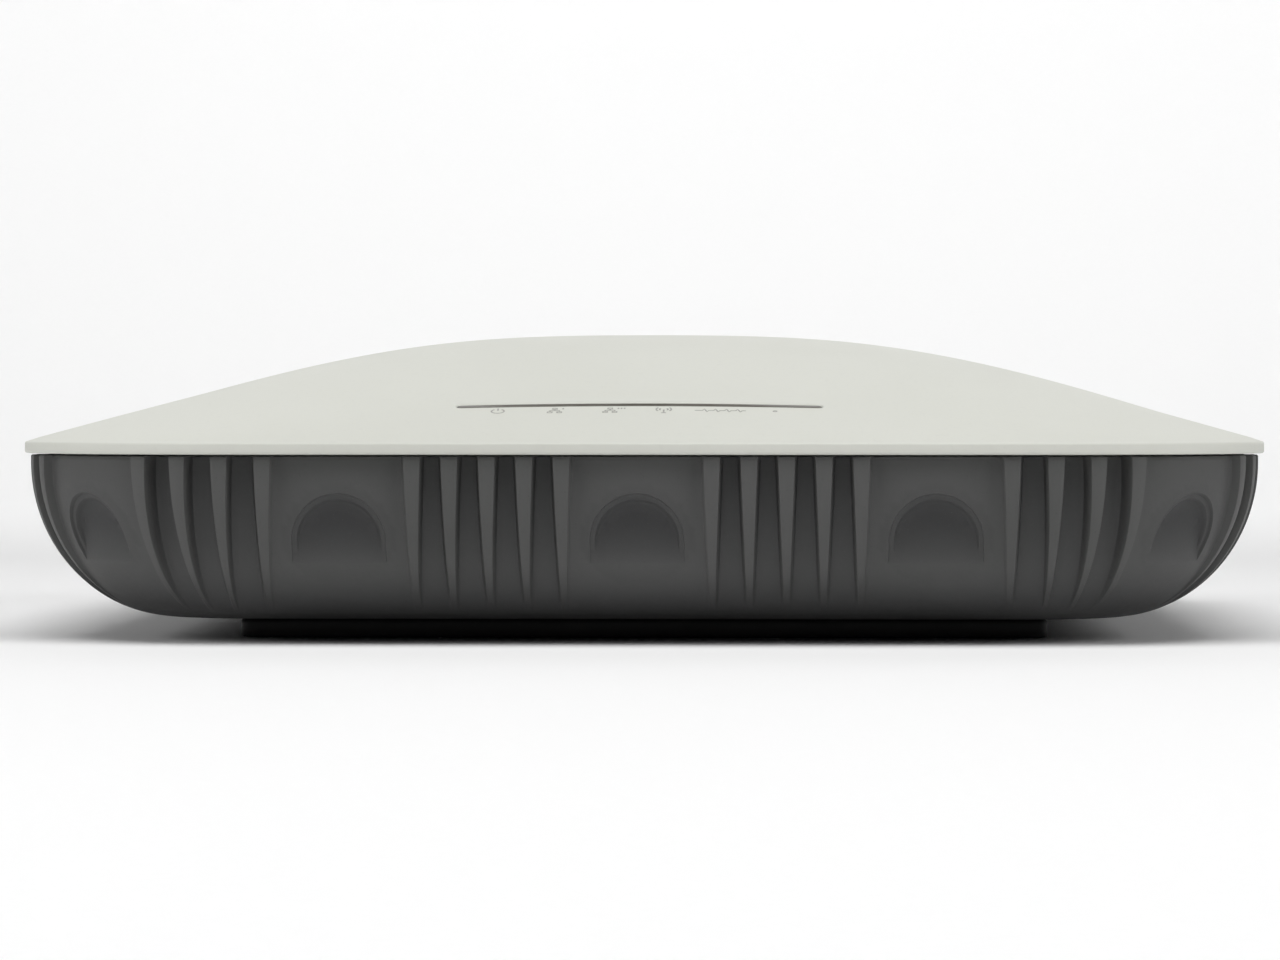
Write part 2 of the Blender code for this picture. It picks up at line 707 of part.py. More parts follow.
def make_pockets():
    """Cutters for the thumb pockets. A pocket's floor leans in until the curved wall meets it."""
    top, foot = BODY_HEIGHT - POCKET_TOP_DROP, BODY_HEIGHT - POCKET_FOOT_DROP
    floor_top = wall_inset(top) + POCKET_DEPTH
    lean = atan((wall_inset(foot) - floor_top) / (top - foot))
    centre = top - POCKET_RADIUS
    floor_at_centre = floor_top + POCKET_RADIUS * tan(lean)
    outline = pocket_outline((centre - foot) / cos(lean) + POCKET_RUN_OUT)
    reach = BODY_TUCK
    bm = bmesh.new()
    for quarter in range(4):
        places = pocket_places()
        for place in (-places[1], *places):
            _, turn = outline_station(place)
            base = Vector(outline_point(place, floor_at_centre, quarter, BODY_BOTTOM + centre))
            outwards = Matrix.Rotation(quarter * pi / 2 + turn, 4, "Z")
            frame = Matrix.Translation(base) @ outwards @ Matrix.Rotation(pi / 2 + lean, 4, "X")
            near = [bm.verts.new(frame @ Vector((x, y, 0))) for x, y in outline]
            far = [bm.verts.new(frame @ Vector((x, y, reach))) for x, y in outline]
            bm.faces.new(near[::-1])
            bm.faces.new(far)
            for i in range(len(outline)):
                following = (i + 1) % len(outline)
                bm.faces.new((near[i], near[following], far[following], far[i]))
    return finish_mesh("thumb_pockets", bm, None, CUTTERS)


def corner_cylinders(place, radius, bottom, top):
    places = [(sx * place, sy * place) for sx, sy in CORNERS]
    return [(radius, (x, y, bottom), (x, y, top)) for x, y in places]


def make_casting():
    heights = [BODY_HEIGHT]
    heights += [curve_height() * (1 - sin(radians(degrees))) for degrees in BOWL_ANGLES]
    heights += [FIN_FOOT_RISE, 0.0]
    casting = loft("heatsink_base", [wall_ring(height) for height in heights], CAST_CHARCOAL)
    cut(casting, make_cavity())
    cut(casting, make_pockets())

    buried = FLOOR_TOP - FLOOR_WALL / 2
    posts = corner_cylinders(COVER_SCREW_PLACE, POST_RADIUS, buried, POST_TOP)
    posts += corner_cylinders(BOARD_SCREW_PLACE, BOARD_BOSS_RADIUS, buried, UNDER_BOARD)
    stud_hole_top = BODY_BOTTOM + STUD_THREAD_LENGTH + TOUCH
    posts += corner_cylinders(STUD_PLACE, STUD_BOSS_RADIUS, buried, stud_hole_top + STUD_BOSS_WALL)
    join(casting, make_cylinders("casting_posts", posts, CUTTERS))

    pedestals = []
    for (x, y), (width, depth) in COOLED_PIECES.values():
        half_x, half_y = width / 2 - PEDESTAL_MARGIN, depth / 2 - PEDESTAL_MARGIN
        top = UNDER_BOARD - CHIP_HEIGHT - THERMAL_PAD - 2 * TOUCH
        pedestals.append(((x - half_x, y - half_y, buried), (x + half_x, y + half_y, top)))
    join(casting, make_boxes("casting_pedestals", pedestals, CUTTERS))

    below, sink_top = BODY_BOTTOM - PAST, BODY_BOTTOM + POST_SINK
    sinks = corner_cylinders(COVER_SCREW_PLACE, SCREW_HEAD_RADIUS + TOUCH, below, sink_top)
    cut(casting, make_cylinders("screw_sinks", sinks, CUTTERS))
    bore = SCREW_SHANK + TOUCH
    holes = corner_cylinders(COVER_SCREW_PLACE, bore, sink_top - PAST, POST_TOP + PAST)
    tip = UNDER_BOARD - (BOARD_SCREW_LENGTH - BOARD_THICKNESS)
    holes += corner_cylinders(BOARD_SCREW_PLACE, bore, tip, UNDER_BOARD + PAST)
    holes += corner_cylinders(STUD_PLACE, STUD_THREAD_RADIUS + TOUCH, below, stud_hole_top)
    cut(casting, make_cylinders("screw_holes", holes, CUTTERS, facets=BORE_FACETS))

    half_x = BAY_X / 2 + TOUCH
    low, high = (-half_x, BAY_Y[0] - TOUCH, below), (half_x, BAY_Y[1] + TOUCH, FLOOR_TOP + PAST)
    cut(casting, make_box("bay_opening", low, high, None, CUTTERS))


# ---------------------------------------------------------------- ceiling plate and studs
def keyhole_outline(x, y):
    """A round entry with a slot that ends at the stud's resting place, for a slide towards -Y."""
    neck, entry = STUD_NECK_RADIUS + TOUCH, STUD_HEAD_RADIUS + 2 * TOUCH
    entry_y = y + SLIDE_TRAVEL
    opening = degrees(asin(neck / entry))
    slot_facets, entry_facets = KEYHOLE_FACETS
    points = arc_points(x, y, neck, 180, 360, slot_facets)
    return points + arc_points(x, entry_y, entry, opening - 90, 270 - opening, entry_facets)


def make_ceiling_plate():
    half, below, above = PLATE_HALF, -PAST, PLATE_HEIGHT + PAST
    outline = rounded_rectangle((-half, -half), (half, half), PLATE_CORNER)
    plate = make_plate("mount_plate", outline, 0.0, PLATE_HEIGHT, BLACK_STEEL)
    inner = half - PLATE_RIM
    hollow = rounded_rectangle((-inner, -inner), (inner, inner), PLATE_CORNER - PLATE_RIM)
    underside = PLATE_HEIGHT - PLATE_SHEET
    cut(plate, make_plate("plate_hollow", hollow, below, underside, None, CUTTERS))
    pads = corner_cylinders(PAD_PLACE, PAD_RADIUS, 0.0, underside + PLATE_SHEET / 2)
    join(plate, make_cylinders("plate_pads", pads, CUTTERS))
    pad_holes = corner_cylinders(PAD_PLACE, PAD_HOLE, below, above)
    cut(plate, make_cylinders("plate_pad_holes", pad_holes, CUTTERS, facets=BORE_FACETS))
    half_x = BAY_X / 2 + CABLE_HOLE_MARGIN
    front, rear = BAY_Y[0] - SLIDE_TRAVEL - CABLE_HOLE_END, BAY_Y[1] + CABLE_HOLE_END
    cable = rounded_rectangle((-half_x, front), (half_x, rear), PLATE_CORNER)
    cut(plate, make_plate("plate_cable_hole", cable, below, above, None, CUTTERS))
    for index, (sx, sy) in enumerate(CORNERS):
        points = keyhole_outline(sx * STUD_PLACE, sy * STUD_PLACE)
        cut(plate, make_plate(f"keyhole_{index + 1}", points, below, above, None, CUTTERS))


def make_studs():
    head_top = PLATE_HEIGHT - PLATE_SHEET - TOUCH
    head_bottom = head_top - STUD_HEAD_HEIGHT
    neck_top = BODY_BOTTOM - TOUCH
    profile = [
        (0.0, BODY_BOTTOM + STUD_THREAD_LENGTH),
        (STUD_THREAD_RADIUS, BODY_BOTTOM + STUD_THREAD_LENGTH),
        (STUD_THREAD_RADIUS, neck_top),
        (STUD_NECK_RADIUS, neck_top),
        (STUD_NECK_RADIUS, head_top),
        (STUD_HEAD_RADIUS, head_top),
        (STUD_HEAD_RADIUS, head_bottom),
        (0.0, head_bottom),
    ]
    for index, (sx, sy) in enumerate(CORNERS):
        place = (sx * STUD_PLACE, sy * STUD_PLACE, 0)
        turned_piece(f"mount_stud_{index + 1}", profile, place, BRIGHT_STEEL)


# ---------------------------------------------------------------- screws
def make_screws():
    head, shank, high = SCREW_HEAD_RADIUS, SCREW_SHANK, SCREW_HEAD_HEIGHT
    seat = BODY_BOTTOM + POST_SINK - TOUCH
    tip = OVER_REFLECTOR + COVER_SCREW_BITE
    foot = seat - high
    upward = [(0, tip), (shank, tip), (shank, seat), (head, seat), (head, foot), (0, foot)]
    tip = UNDER_BOARD - (BOARD_SCREW_LENGTH - BOARD_THICKNESS) + TOUCH
    seat, crown = OVER_BOARD, OVER_BOARD + high
    downward = [(0, crown), (head, crown), (head, seat), (shank, seat), (shank, tip), (0, tip)]
    for index, (sx, sy) in enumerate(CORNERS):
        place = (sx * COVER_SCREW_PLACE, sy * COVER_SCREW_PLACE, 0)
        turned_piece(f"cover_screw_{index + 1}", upward, place, BRIGHT_STEEL, BORE_FACETS)
        place = (sx * BOARD_SCREW_PLACE, sy * BOARD_SCREW_PLACE, 0)
        turned_piece(f"board_screw_{index + 1}", downward, place, BRIGHT_STEEL, BORE_FACETS)


# ---------------------------------------------------------------- cable bay, sockets and reset button
def socket_box(x, size):
    """A socket's body: it hangs from the board with its mouth in the bay's rear wall."""
    width, depth, height = size
    low = (x - width / 2, BAY_REAR, UNDER_BOARD - height)
    return low, (x + width / 2, BAY_REAR + depth, UNDER_BOARD)


def grown(box, margin, along):
    """A box with a margin round it, and its own two ends along Y."""
    low, high = box
    near = (low[0] - margin, along[0], low[2] - margin)
    return near, (high[0] + margin, along[1], high[2] + margin)


def make_bay():
    half_x = BAY_X / 2
    bottom, top = BODY_BOTTOM + TOUCH, BOARD_TOP + BAY_OVER_BOARD
    bay = make_box("port_bay", (-half_x, BAY_Y[0], bottom), (half_x, BAY_Y[1], top), BLACK_PLASTIC)
    reach = half_x + BAY_FLANGE
    flange_bottom = FLOOR_TOP + TOUCH
    low = (-reach, BAY_Y[0] - BAY_FLANGE, flange_bottom)
    rear = BAY_REAR + BAY_WALL / 2
    high = (reach, rear, flange_bottom + BAY_FLANGE_THICKNESS)
    join(bay, make_box("bay_flange", low, high, None, CUTTERS))
    low = (-half_x + BAY_WALL, BAY_Y[0] + BAY_WALL, bottom - PAST)
    high = (half_x - BAY_WALL, BAY_REAR, top - BAY_WALL)
    cut(bay, make_box("bay_hollow", low, high, None, CUTTERS))
    through = (BAY_REAR - PAST, BAY_Y[1] + PAST)
    sockets = [socket_box(x, LAN_SIZE) for x in LAN_PLACES] + [socket_box(DC_PLACE, DC_SIZE)]
    windows = [grown(socket, SOCKET_FIT, through) for socket in sockets]
    cut(bay, make_boxes("bay_windows", windows, CUTTERS))
    ends = [(RESET_PLACE, y, UNDER_BOARD - RESET_DROP) for y in through]
    hole = [(RESET_RADIUS + TOUCH, *ends)]
    cut(bay, make_cylinders("bay_reset_hole", hole, CUTTERS, facets=BORE_FACETS))


def make_sockets():
    for index, x in enumerate(LAN_PLACES):
        low, high = socket_box(x, LAN_SIZE)
        jack = make_box(f"lan_jack_{index + 1}", low, high, TIN_PLATE)
        top = high[2] - LAN_ROOF
        wide, deep, tall = LAN_MOUTH
        near, far = (x - wide / 2, low[1] - PAST, top - tall), (x + wide / 2, low[1] + deep, top)
        cut(jack, make_box(f"lan_mouth_{index + 1}", near, far, None, CUTTERS))
        top -= tall
        wide, deep, tall = LAN_LATCH
        near, far = (x - wide / 2, low[1] - PAST, top - tall), (x + wide / 2, low[1] + deep, top + PAST)
        cut(jack, make_box(f"lan_latch_{index + 1}", near, far, None, CUTTERS))

    low, high = socket_box(DC_PLACE, DC_SIZE)
    socket = make_box("power_jack", low, high, BLACK_PLASTIC)
    ends = (-PAST, DC_BORE_DEPTH, DC_PIN_BACK, DC_BORE_DEPTH + PAST)
    middle = (low[2] + high[2]) / 2
    mouth, back, tip, root = [(DC_PLACE, low[1] + end, middle) for end in ends]
    cut(socket, make_cylinders("dc_bore", [(DC_BORE, mouth, back)], CUTTERS))
    join(socket, make_cylinders("dc_pin", [(DC_PIN, tip, root)], CUTTERS, facets=8))


def make_reset():
    """The button slides in the bay's rear wall. Its collar keeps it from falling into the bay."""
    height = UNDER_BOARD - RESET_DROP
    collar_front = BAY_Y[1] + TOUCH
    collar_back = collar_front + RESET_COLLAR_LENGTH
    front = BAY_REAR - RESET_PROUD
    profile = [
        (0.0, 0.0),
        (RESET_RADIUS, 0.0),
        (RESET_RADIUS, front - collar_front),
        (RESET_COLLAR, front - collar_front),
        (RESET_COLLAR, front - collar_back),
        (0.0, front - collar_back),
    ]
    place = (RESET_PLACE, front, height)
    button = turned_piece("reset_button", profile, place, BLACK_PLASTIC, BORE_FACETS)
    button.rotation_euler = (pi / 2, 0, 0)
    width, depth, tall = SWITCH_SIZE
    switch_front = collar_back + RESET_TRAVEL + TOUCH
    low = (RESET_PLACE - width / 2, switch_front, UNDER_BOARD - tall)
    high = (RESET_PLACE + width / 2, switch_front + depth, UNDER_BOARD)
    make_box("reset_switch", low, high, CHIP_BLACK)


# ---------------------------------------------------------------- board, chips and antennas
def make_board():
    half = BOARD_HALF
    outline = rounded_rectangle((-half, -half), (half, half), BOARD_CORNER, facets=3)
    board = make_plate("main_board", outline, BOARD_BOTTOM, BOARD_TOP, BOARD_GREEN)
    half_x, below, above = BAY_X / 2 + SOCKET_FIT, BOARD_BOTTOM - PAST, BOARD_TOP + PAST
    low, high = (-half_x, BAY_Y[0] - SOCKET_FIT, below), (half_x, BAY_Y[1] + SOCKET_FIT, above)
    cut(board, make_box("board_window", low, high, None, CUTTERS))
    holes = corner_cylinders(BOARD_SCREW_PLACE, SCREW_SHANK + TOUCH, below, above)
    cut(board, make_cylinders("board_holes", holes, CUTTERS, facets=BORE_FACETS))


def make_under_board(name, place, size, height, material):
    """A flat component under the board. It returns the height of its lower face."""
    (x, y), (width, depth) = place, size
    low = (x - width / 2, y - depth / 2, UNDER_BOARD - height)
    make_box(name, low, (x + width / 2, y + depth / 2, UNDER_BOARD), material)
    return low[2]


def make_chips():
    for name, ((x, y), (width, depth)) in COOLED_PIECES.items():
        is_chip = name == "soc"
        piece = name + ("_chip" if is_chip else "_shield")
        material = CHIP_BLACK if is_chip else TIN_PLATE
        bottom = make_under_board(piece, (x, y), (width, depth), CHIP_HEIGHT, material)
        half_x, half_y = width / 2 - PAD_MARGIN, depth / 2 - PAD_MARGIN
        top = bottom - TOUCH
        low = (x - half_x, y - half_y, top - THERMAL_PAD)
        make_box(name + "_thermal_pad", low, (x + half_x, y + half_y, top), PAD_GREY)
    for index, place in enumerate(MEMORY_PLACES):
        make_under_board(f"memory_chip_{index + 1}", place, MEMORY_SIZE, MEMORY_HEIGHT, CHIP_BLACK)
    make_under_board("flash_chip", FLASH_PLACE, FLASH_SIZE, MEMORY_HEIGHT, CHIP_BLACK)


def make_power_parts():
    for name, ((x, y), (width, depth, height)) in BOXED_PARTS.items():
        make_box(name, (x, y, OVER_BOARD), (x + width, y + depth, OVER_BOARD + height), CHIP_BLACK)
    for index, (x, y) in enumerate(CAPACITOR_PLACES):
        can = [(CAPACITOR_RADIUS, (x, y, OVER_BOARD), (x, y, OVER_BOARD + TALLEST_PART))]
        make_cylinders(f"bulk_capacitor_{index + 1}", can, PARTS, TIN_PLATE, facets=BORE_FACETS)


def make_reflector():
    half = REFLECTOR_HALF
    outline = rounded_rectangle((-half, -half), (half, half), REFLECTOR_CORNER, facets=6)
    plate = make_plate("reflector_plate", outline, REFLECTOR_BOTTOM, REFLECTOR_TOP, TIN_PLATE)
    bottom, top = REFLECTOR_BOTTOM - PAST, REFLECTOR_TOP + PAST
    holes = corner_cylinders(COVER_SCREW_PLACE, SCREW_SHANK + TOUCH, bottom, top)
    cut(plate, make_cylinders("reflector_holes", holes, CUTTERS, facets=BORE_FACETS))


def make_dual_band(name, middle, quarter):
    """A bent-sheet antenna: a foot on the reflector and an upright wall along its outer edge."""
    length, foot, height = DUAL_BAND_SIZE
    sheet = DUAL_BAND_SHEET
    bend = foot - sheet
    section = [(0, 0), (foot, 0), (foot, height), (bend, height), (bend, sheet), (0, sheet)]
    turned = Matrix.Rotation(quarter * pi / 2, 4, "Z")
    stand = Matrix(((0, 0, 1, 0), (1, 0, 0, 0), (0, 1, 0, 0), (0, 0, 0, 1)))
    place = Matrix.Translation((*middle, OVER_REFLECTOR)) @ turned @ stand
    extruded_outline(name, section, length, COPPER_ALLOY, place)


def make_patch(name, x, y):
    half, bottom = PATCH_SIZE / 2, OVER_REFLECTOR + PATCH_LIFT
    top = bottom + PATCH_SHEET
    patch = make_box(name, (x - half, y - half, bottom), (x + half, y + half, top), COPPER_ALLOY)
    stem = [(PATCH_STEM_RADIUS, (x, y, OVER_REFLECTOR), (x, y, bottom + PATCH_SHEET / 2))]
    join(patch, make_cylinders(name + "_stem", stem, CUTTERS, facets=BORE_FACETS))


def make_antennas():
    sides = ((0, -1, 2), (1, 0, 3), (0, 1, 0), (-1, 0, 1))
    for index, (sx, sy, quarter) in enumerate(sides):
        middle = (sx * DUAL_BAND_PLACE, sy * DUAL_BAND_PLACE)
        make_dual_band(f"dual_band_antenna_{index + 1}", middle, quarter)
    for index, (sx, sy) in enumerate(CORNERS):
        make_patch(f"patch_antenna_{index + 1}", sx * PATCH_PLACE, sy * PATCH_PLACE)
    near, foot = REFLECTOR_HALF - SIDE_ANTENNA_INSET, OVER_REFLECTOR
    length, thick, height = SCAN_ANTENNA
    low, high = (-length / 2, near, foot), (length / 2, near + thick, foot + height)
    make_box("scan_antenna", low, high, BOARD_GREEN)
    length, thick, height = BEACON_ANTENNA
    low, high = (near, -length / 2, foot), (near + thick, length / 2, foot + height)
    make_box("beacon_antenna", low, high, BOARD_GREEN)


def make_antenna_cables():
    """Thin pigtails from the board up to the reflector plate, under each dual-band antenna."""
    low, high = OVER_BOARD + CABLE_RADIUS, REFLECTOR_BOTTOM - TOUCH - CABLE_RADIUS
    near, far = DUAL_BAND_PLACE - CABLE_RUN_IN, DUAL_BAND_PLACE + DUAL_BAND_SIZE[1] / 2
    for index, (sx, sy) in enumerate(((0, -1), (1, 0), (0, 1), (-1, 0))):
        name = f"antenna_cable_{index + 1}"
        curve = bpy.data.curves.new(name, "CURVE")
        curve.dimensions = "3D"
        curve.bevel_depth = CABLE_RADIUS
        curve.bevel_resolution = 2
        curve.use_fill_caps = True
        spline = curve.splines.new("POLY")
        spline.points.add(CABLE_STEPS)
        for step, target in enumerate(spline.points):
            share = step / CABLE_STEPS
            reach = near + (far - near) * share
            height = low + (high - low) * (1 - cos(pi * share)) / 2
            target.co = (sx * reach, sy * reach, height, 1)
        cable = bpy.data.objects.new(name, curve)
        curve.materials.append(CABLE_BLACK)
        PARTS.objects.link(cable)


make_cover()
make_indicator()
make_casting()
make_ceiling_plate()
make_studs()
make_screws()
make_bay()
make_sockets()
make_reset()
make_board()
make_chips()
make_power_parts()
make_reflector()
make_antennas()
make_antenna_cables()
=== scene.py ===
"""A square ceiling access point, 230 mm across, cover up: its visible pieces, finishes, lights and camera.

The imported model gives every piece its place. The cover, the finned casting, the plate, the bay and the
sockets are modelled again here with their real edges and recesses. What sits inside keeps its CAD shape.
"""

import json
from math import atan2, cos, floor, hypot, pi, radians, sin, sqrt

import bmesh
import bpy
from mathutils import Matrix, Vector

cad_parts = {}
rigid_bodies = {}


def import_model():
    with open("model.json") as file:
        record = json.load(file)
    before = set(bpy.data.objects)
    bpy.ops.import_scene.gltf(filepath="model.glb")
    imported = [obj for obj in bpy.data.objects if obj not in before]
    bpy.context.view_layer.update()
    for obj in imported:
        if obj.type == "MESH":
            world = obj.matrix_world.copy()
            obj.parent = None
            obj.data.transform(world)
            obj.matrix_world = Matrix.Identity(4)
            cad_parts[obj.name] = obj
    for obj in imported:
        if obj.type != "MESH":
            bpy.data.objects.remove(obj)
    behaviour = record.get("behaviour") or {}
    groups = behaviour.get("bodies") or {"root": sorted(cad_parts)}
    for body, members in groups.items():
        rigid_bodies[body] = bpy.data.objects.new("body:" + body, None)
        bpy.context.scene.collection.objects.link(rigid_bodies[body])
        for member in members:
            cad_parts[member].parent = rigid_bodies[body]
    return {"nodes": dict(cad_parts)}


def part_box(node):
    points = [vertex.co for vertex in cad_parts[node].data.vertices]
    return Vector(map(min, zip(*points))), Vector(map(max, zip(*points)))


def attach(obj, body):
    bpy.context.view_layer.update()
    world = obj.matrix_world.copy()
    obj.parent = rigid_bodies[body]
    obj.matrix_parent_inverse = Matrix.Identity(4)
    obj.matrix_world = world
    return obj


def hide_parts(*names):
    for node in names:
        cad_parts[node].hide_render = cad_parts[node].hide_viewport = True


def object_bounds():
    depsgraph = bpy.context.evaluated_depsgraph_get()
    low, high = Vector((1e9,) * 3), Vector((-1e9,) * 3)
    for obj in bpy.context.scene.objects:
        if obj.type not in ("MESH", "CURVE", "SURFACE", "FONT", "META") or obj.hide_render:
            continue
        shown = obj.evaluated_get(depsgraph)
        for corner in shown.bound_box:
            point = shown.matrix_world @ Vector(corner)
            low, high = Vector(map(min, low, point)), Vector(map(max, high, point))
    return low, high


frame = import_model()
cad_low, cad_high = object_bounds()

# ---- Cover
COVER_HALF = 0.115
COVER_CORNER = 0.0442
COVER_WALL = 0.0020
RIM_TOP = 0.0364
RIM_BOTTOM = 0.0342
RIM_ROUND = 0.00045
CROWN_RISE = 0.0205
CROWN_LEVEL = 0.0335
CROWN_RUN = 0.0579
CROWN_SLOPE = 0.36
CROWN_ROUNDING = 1.5
LIP_INSET = 0.0073
LIP_WALL = 0.0015
LIP_DROP = 0.0024
STRIP_Y = -0.0950
STRIP_LENGTH = 0.0662
STRIP_WIDTH = 0.0017
STRIP_DEPTH = 0.0030
SCREW_PLACE = 0.0795
BOSS_RADIUS = 0.0042
BOSS_FOOT = 0.0350
BORE_TOP = 0.0408
SCREW_BORE = 0.0018
BEYOND = 0.002  # how far a cutter reaches past what it cuts

# ---- Casting
BODY_BOTTOM = 0.0039
BODY_HEIGHT = 0.0300
CURVE_HEIGHT = BODY_HEIGHT - 0.0014
BODY_TUCK = 0.0270
BODY_HALF = 0.1139
BODY_CORNER = 0.0431
BODY_FLAT = BODY_HALF - BODY_CORNER
CORNER_LENGTH = BODY_CORNER * pi / 4
FLOOR_TOP = 0.0064
FIN_HEIGHT = 0.0034
FIN_FADING = 3
FIN_CREST_TOP = 0.0030
FIN_CREST_FOOT = 0.0008
FIN_PITCH = 0.0068
FIN_FOOT_RISE = 0.0018
PANEL_HALF = 0.01335
CORNER_PANEL_HALF = 0.0146
CORNER_GROUP = BODY_FLAT - 0.0041
PANEL_SHARE = 0.30
CAVITY_INSET = 0.0056
CAVITY_TUCK = 0.0236
POCKET_RADIUS = 0.0086
POCKET_TOP = 0.0234
POCKET_FOOT = 0.0105
POCKET_DEPTH = 0.0034
BOARD_UNDERSIDE = 0.0207
BOARD_SCREW_PLACE = 0.0660
STUD_PLACE = 0.0450
CORNERS = ((-1, -1), (1, -1), (1, 1), (-1, 1))


# ---- handling pieces by hand
def clear_selection():
    if bpy.context.mode != "OBJECT":
        bpy.ops.object.mode_set(mode="OBJECT")
    for other in bpy.context.view_layer.objects:
        other.select_set(False)


def take(piece):
    clear_selection()
    piece.select_set(True)
    bpy.context.view_layer.objects.active = piece


def show(thing):
    bpy.context.scene.collection.objects.link(thing)
    return thing


def settle(piece):
    """Puts the piece's place, turn and size into its mesh."""
    take(piece)
    bpy.ops.object.transform_apply(location=True, rotation=True, scale=True)
    return piece


def start_block(name, low, high):
    clear_selection()
    middle, size = (Vector(low) + Vector(high)) / 2, Vector(high) - Vector(low)
    bpy.ops.mesh.primitive_cube_add(size=1, location=middle, scale=size)
    block = bpy.context.object
    block.name = name
    return settle(block)


def start_rod(name, radius, start, end, facets=32):
    clear_selection()
    start, end = Vector(start), Vector(end)
    axis = end - start
    turn = Vector((0, 0, 1)).rotation_difference(axis).to_euler()
    bpy.ops.mesh.primitive_cylinder_add(
        vertices=facets, radius=radius, depth=axis.length, location=(start + end) / 2, rotation=turn
    )
    rod = bpy.context.object
    rod.name = name
    return settle(rod)


def choose(piece, kind, test):
    """Opens the piece in edit mode, with the faces or edges that pass the test selected."""
    take(piece)
    bpy.ops.object.mode_set(mode="EDIT")
    bpy.ops.mesh.select_mode(type=kind)
    bpy.ops.mesh.select_all(action="DESELECT")
    shape = bmesh.from_edit_mesh(piece.data)
    for item in shape.faces if kind == "FACE" else shape.edges:
        if test(item):
            item.select_set(True)
    bmesh.update_edit_mesh(piece.data)


def facing(direction, level=None):
    """A test for faces that look one way, and, if a level is given, lie at it along that way."""
    direction = Vector(direction)

    def test(face):
        at_level = level is None or abs(face.calc_center_median().dot(direction) - level) < 1e-5
        return face.normal.dot(direction) > 0.99 and at_level

    return test


def running(axis):
    """A test for edges that run along an axis, given by its number."""
    return lambda edge: abs((edge.verts[1].co - edge.verts[0].co).normalized()[axis]) > 0.99


def lying_at(axis, level):
    """A test for edges that lie at a level of an axis."""
    return lambda edge: all(abs(corner.co[axis] - level) < 1e-6 for corner in edge.verts)


def round_edges(piece, test, width, steps):
    choose(piece, "EDGE", test)
    bpy.ops.mesh.bevel(offset=width, segments=steps, affect="EDGES")
    bpy.ops.object.mode_set(mode="OBJECT")


def draw_out(piece, test, margin, move, scale=None):
    """Insets faces by a margin, extrudes them along a move, and resizes their far end."""
    choose(piece, "FACE", test)
    if margin:
        bpy.ops.mesh.inset(thickness=margin)
    bpy.ops.mesh.extrude_region_move(TRANSFORM_OT_translate={"value": move})
    if scale:
        bpy.ops.transform.resize(value=scale)
    bpy.ops.object.mode_set(mode="OBJECT")


def apply_modifier(piece, kind, **settings):
    take(piece)
    change = piece.modifiers.new(kind.lower(), kind)
    for key, value in settings.items():
        setattr(change, key, value)
    bpy.ops.object.modifier_apply(modifier=change.name)


def carve(piece, other, operation="DIFFERENCE", solver="EXACT"):
    """Cuts the other piece from this one, or joins it on, and throws the other away."""
    apply_modifier(piece, "BOOLEAN", operation=operation, solver=solver, object=other)
    bpy.data.objects.remove(other)


def soften(piece, width, steps=2, angle=30):
    """Breaks the piece's sharp edges."""
    limit = {"limit_method": "ANGLE", "angle_limit": radians(angle)}
    apply_modifier(piece, "BEVEL", width=width, segments=steps, **limit)


def smooth(piece, angle=35):
    take(piece)
    bpy.ops.object.shade_smooth_by_angle(angle=radians(angle))


def copy_piece(piece, name, place):
    """A copy with its own mesh, moved or turned by a matrix."""
    copied = piece.copy()
    copied.name = name
    copied.data = piece.data.copy()
    copied.data.name = name
    copied.data.transform(place)
    return show(copied)


def place_piece(piece, finish, nodes=(), body="access_point"):
    """Gives a finished piece its finish, its body, and the CAD nodes it stands for."""
    piece.data.name = piece.name
    piece.data.materials.clear()
    piece.data.materials.append(finish)
    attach(piece, body)
    if nodes:
        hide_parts(*nodes)
    return piece


def piece_from(name, points, faces):
    mesh = bpy.data.meshes.new(name)
    mesh.from_pydata([tuple(point) for point in points], [], faces)
    return show(bpy.data.objects.new(name, mesh))


def piece_of(name, shape):
    """Turns a loose shape into a piece."""
    mesh = bpy.data.meshes.new(name)
    shape.to_mesh(mesh)
    shape.free()
    return show(bpy.data.objects.new(name, mesh))


def skin(name, rings):
    """A closed skin over rings of equally many points, first to last. A ring of one point is a pole."""
    points, starts, faces = [], [], []
    for ring in rings:
        starts.append(len(points))
        points.extend(ring)
    for k in range(len(rings) - 1):
        near, far = len(rings[k]), len(rings[k + 1])
        count = max(near, far)
        for i in range(count):
            j = (i + 1) % count
            a, b = starts[k] + i % near, starts[k] + j % near
            c, d = starts[k + 1] + j % far, starts[k + 1] + i % far
            faces.append(tuple(dict.fromkeys((a, d, c, b))))
    for k, flip in ((0, False), (len(rings) - 1, True)):
        if len(rings[k]) > 2:
            cap = list(range(starts[k], starts[k] + len(rings[k])))
            faces.append(tuple(cap[::-1] if flip else cap))
    piece = piece_from(name, points, faces)
    shape = bmesh.new()
    shape.from_mesh(piece.data)
    bmesh.ops.recalc_face_normals(shape, faces=shape.faces)
    if shape.calc_volume(signed=True) < 0:
        bmesh.ops.reverse_faces(shape, faces=shape.faces)
    shape.to_mesh(piece.data)
    shape.free()
    return piece


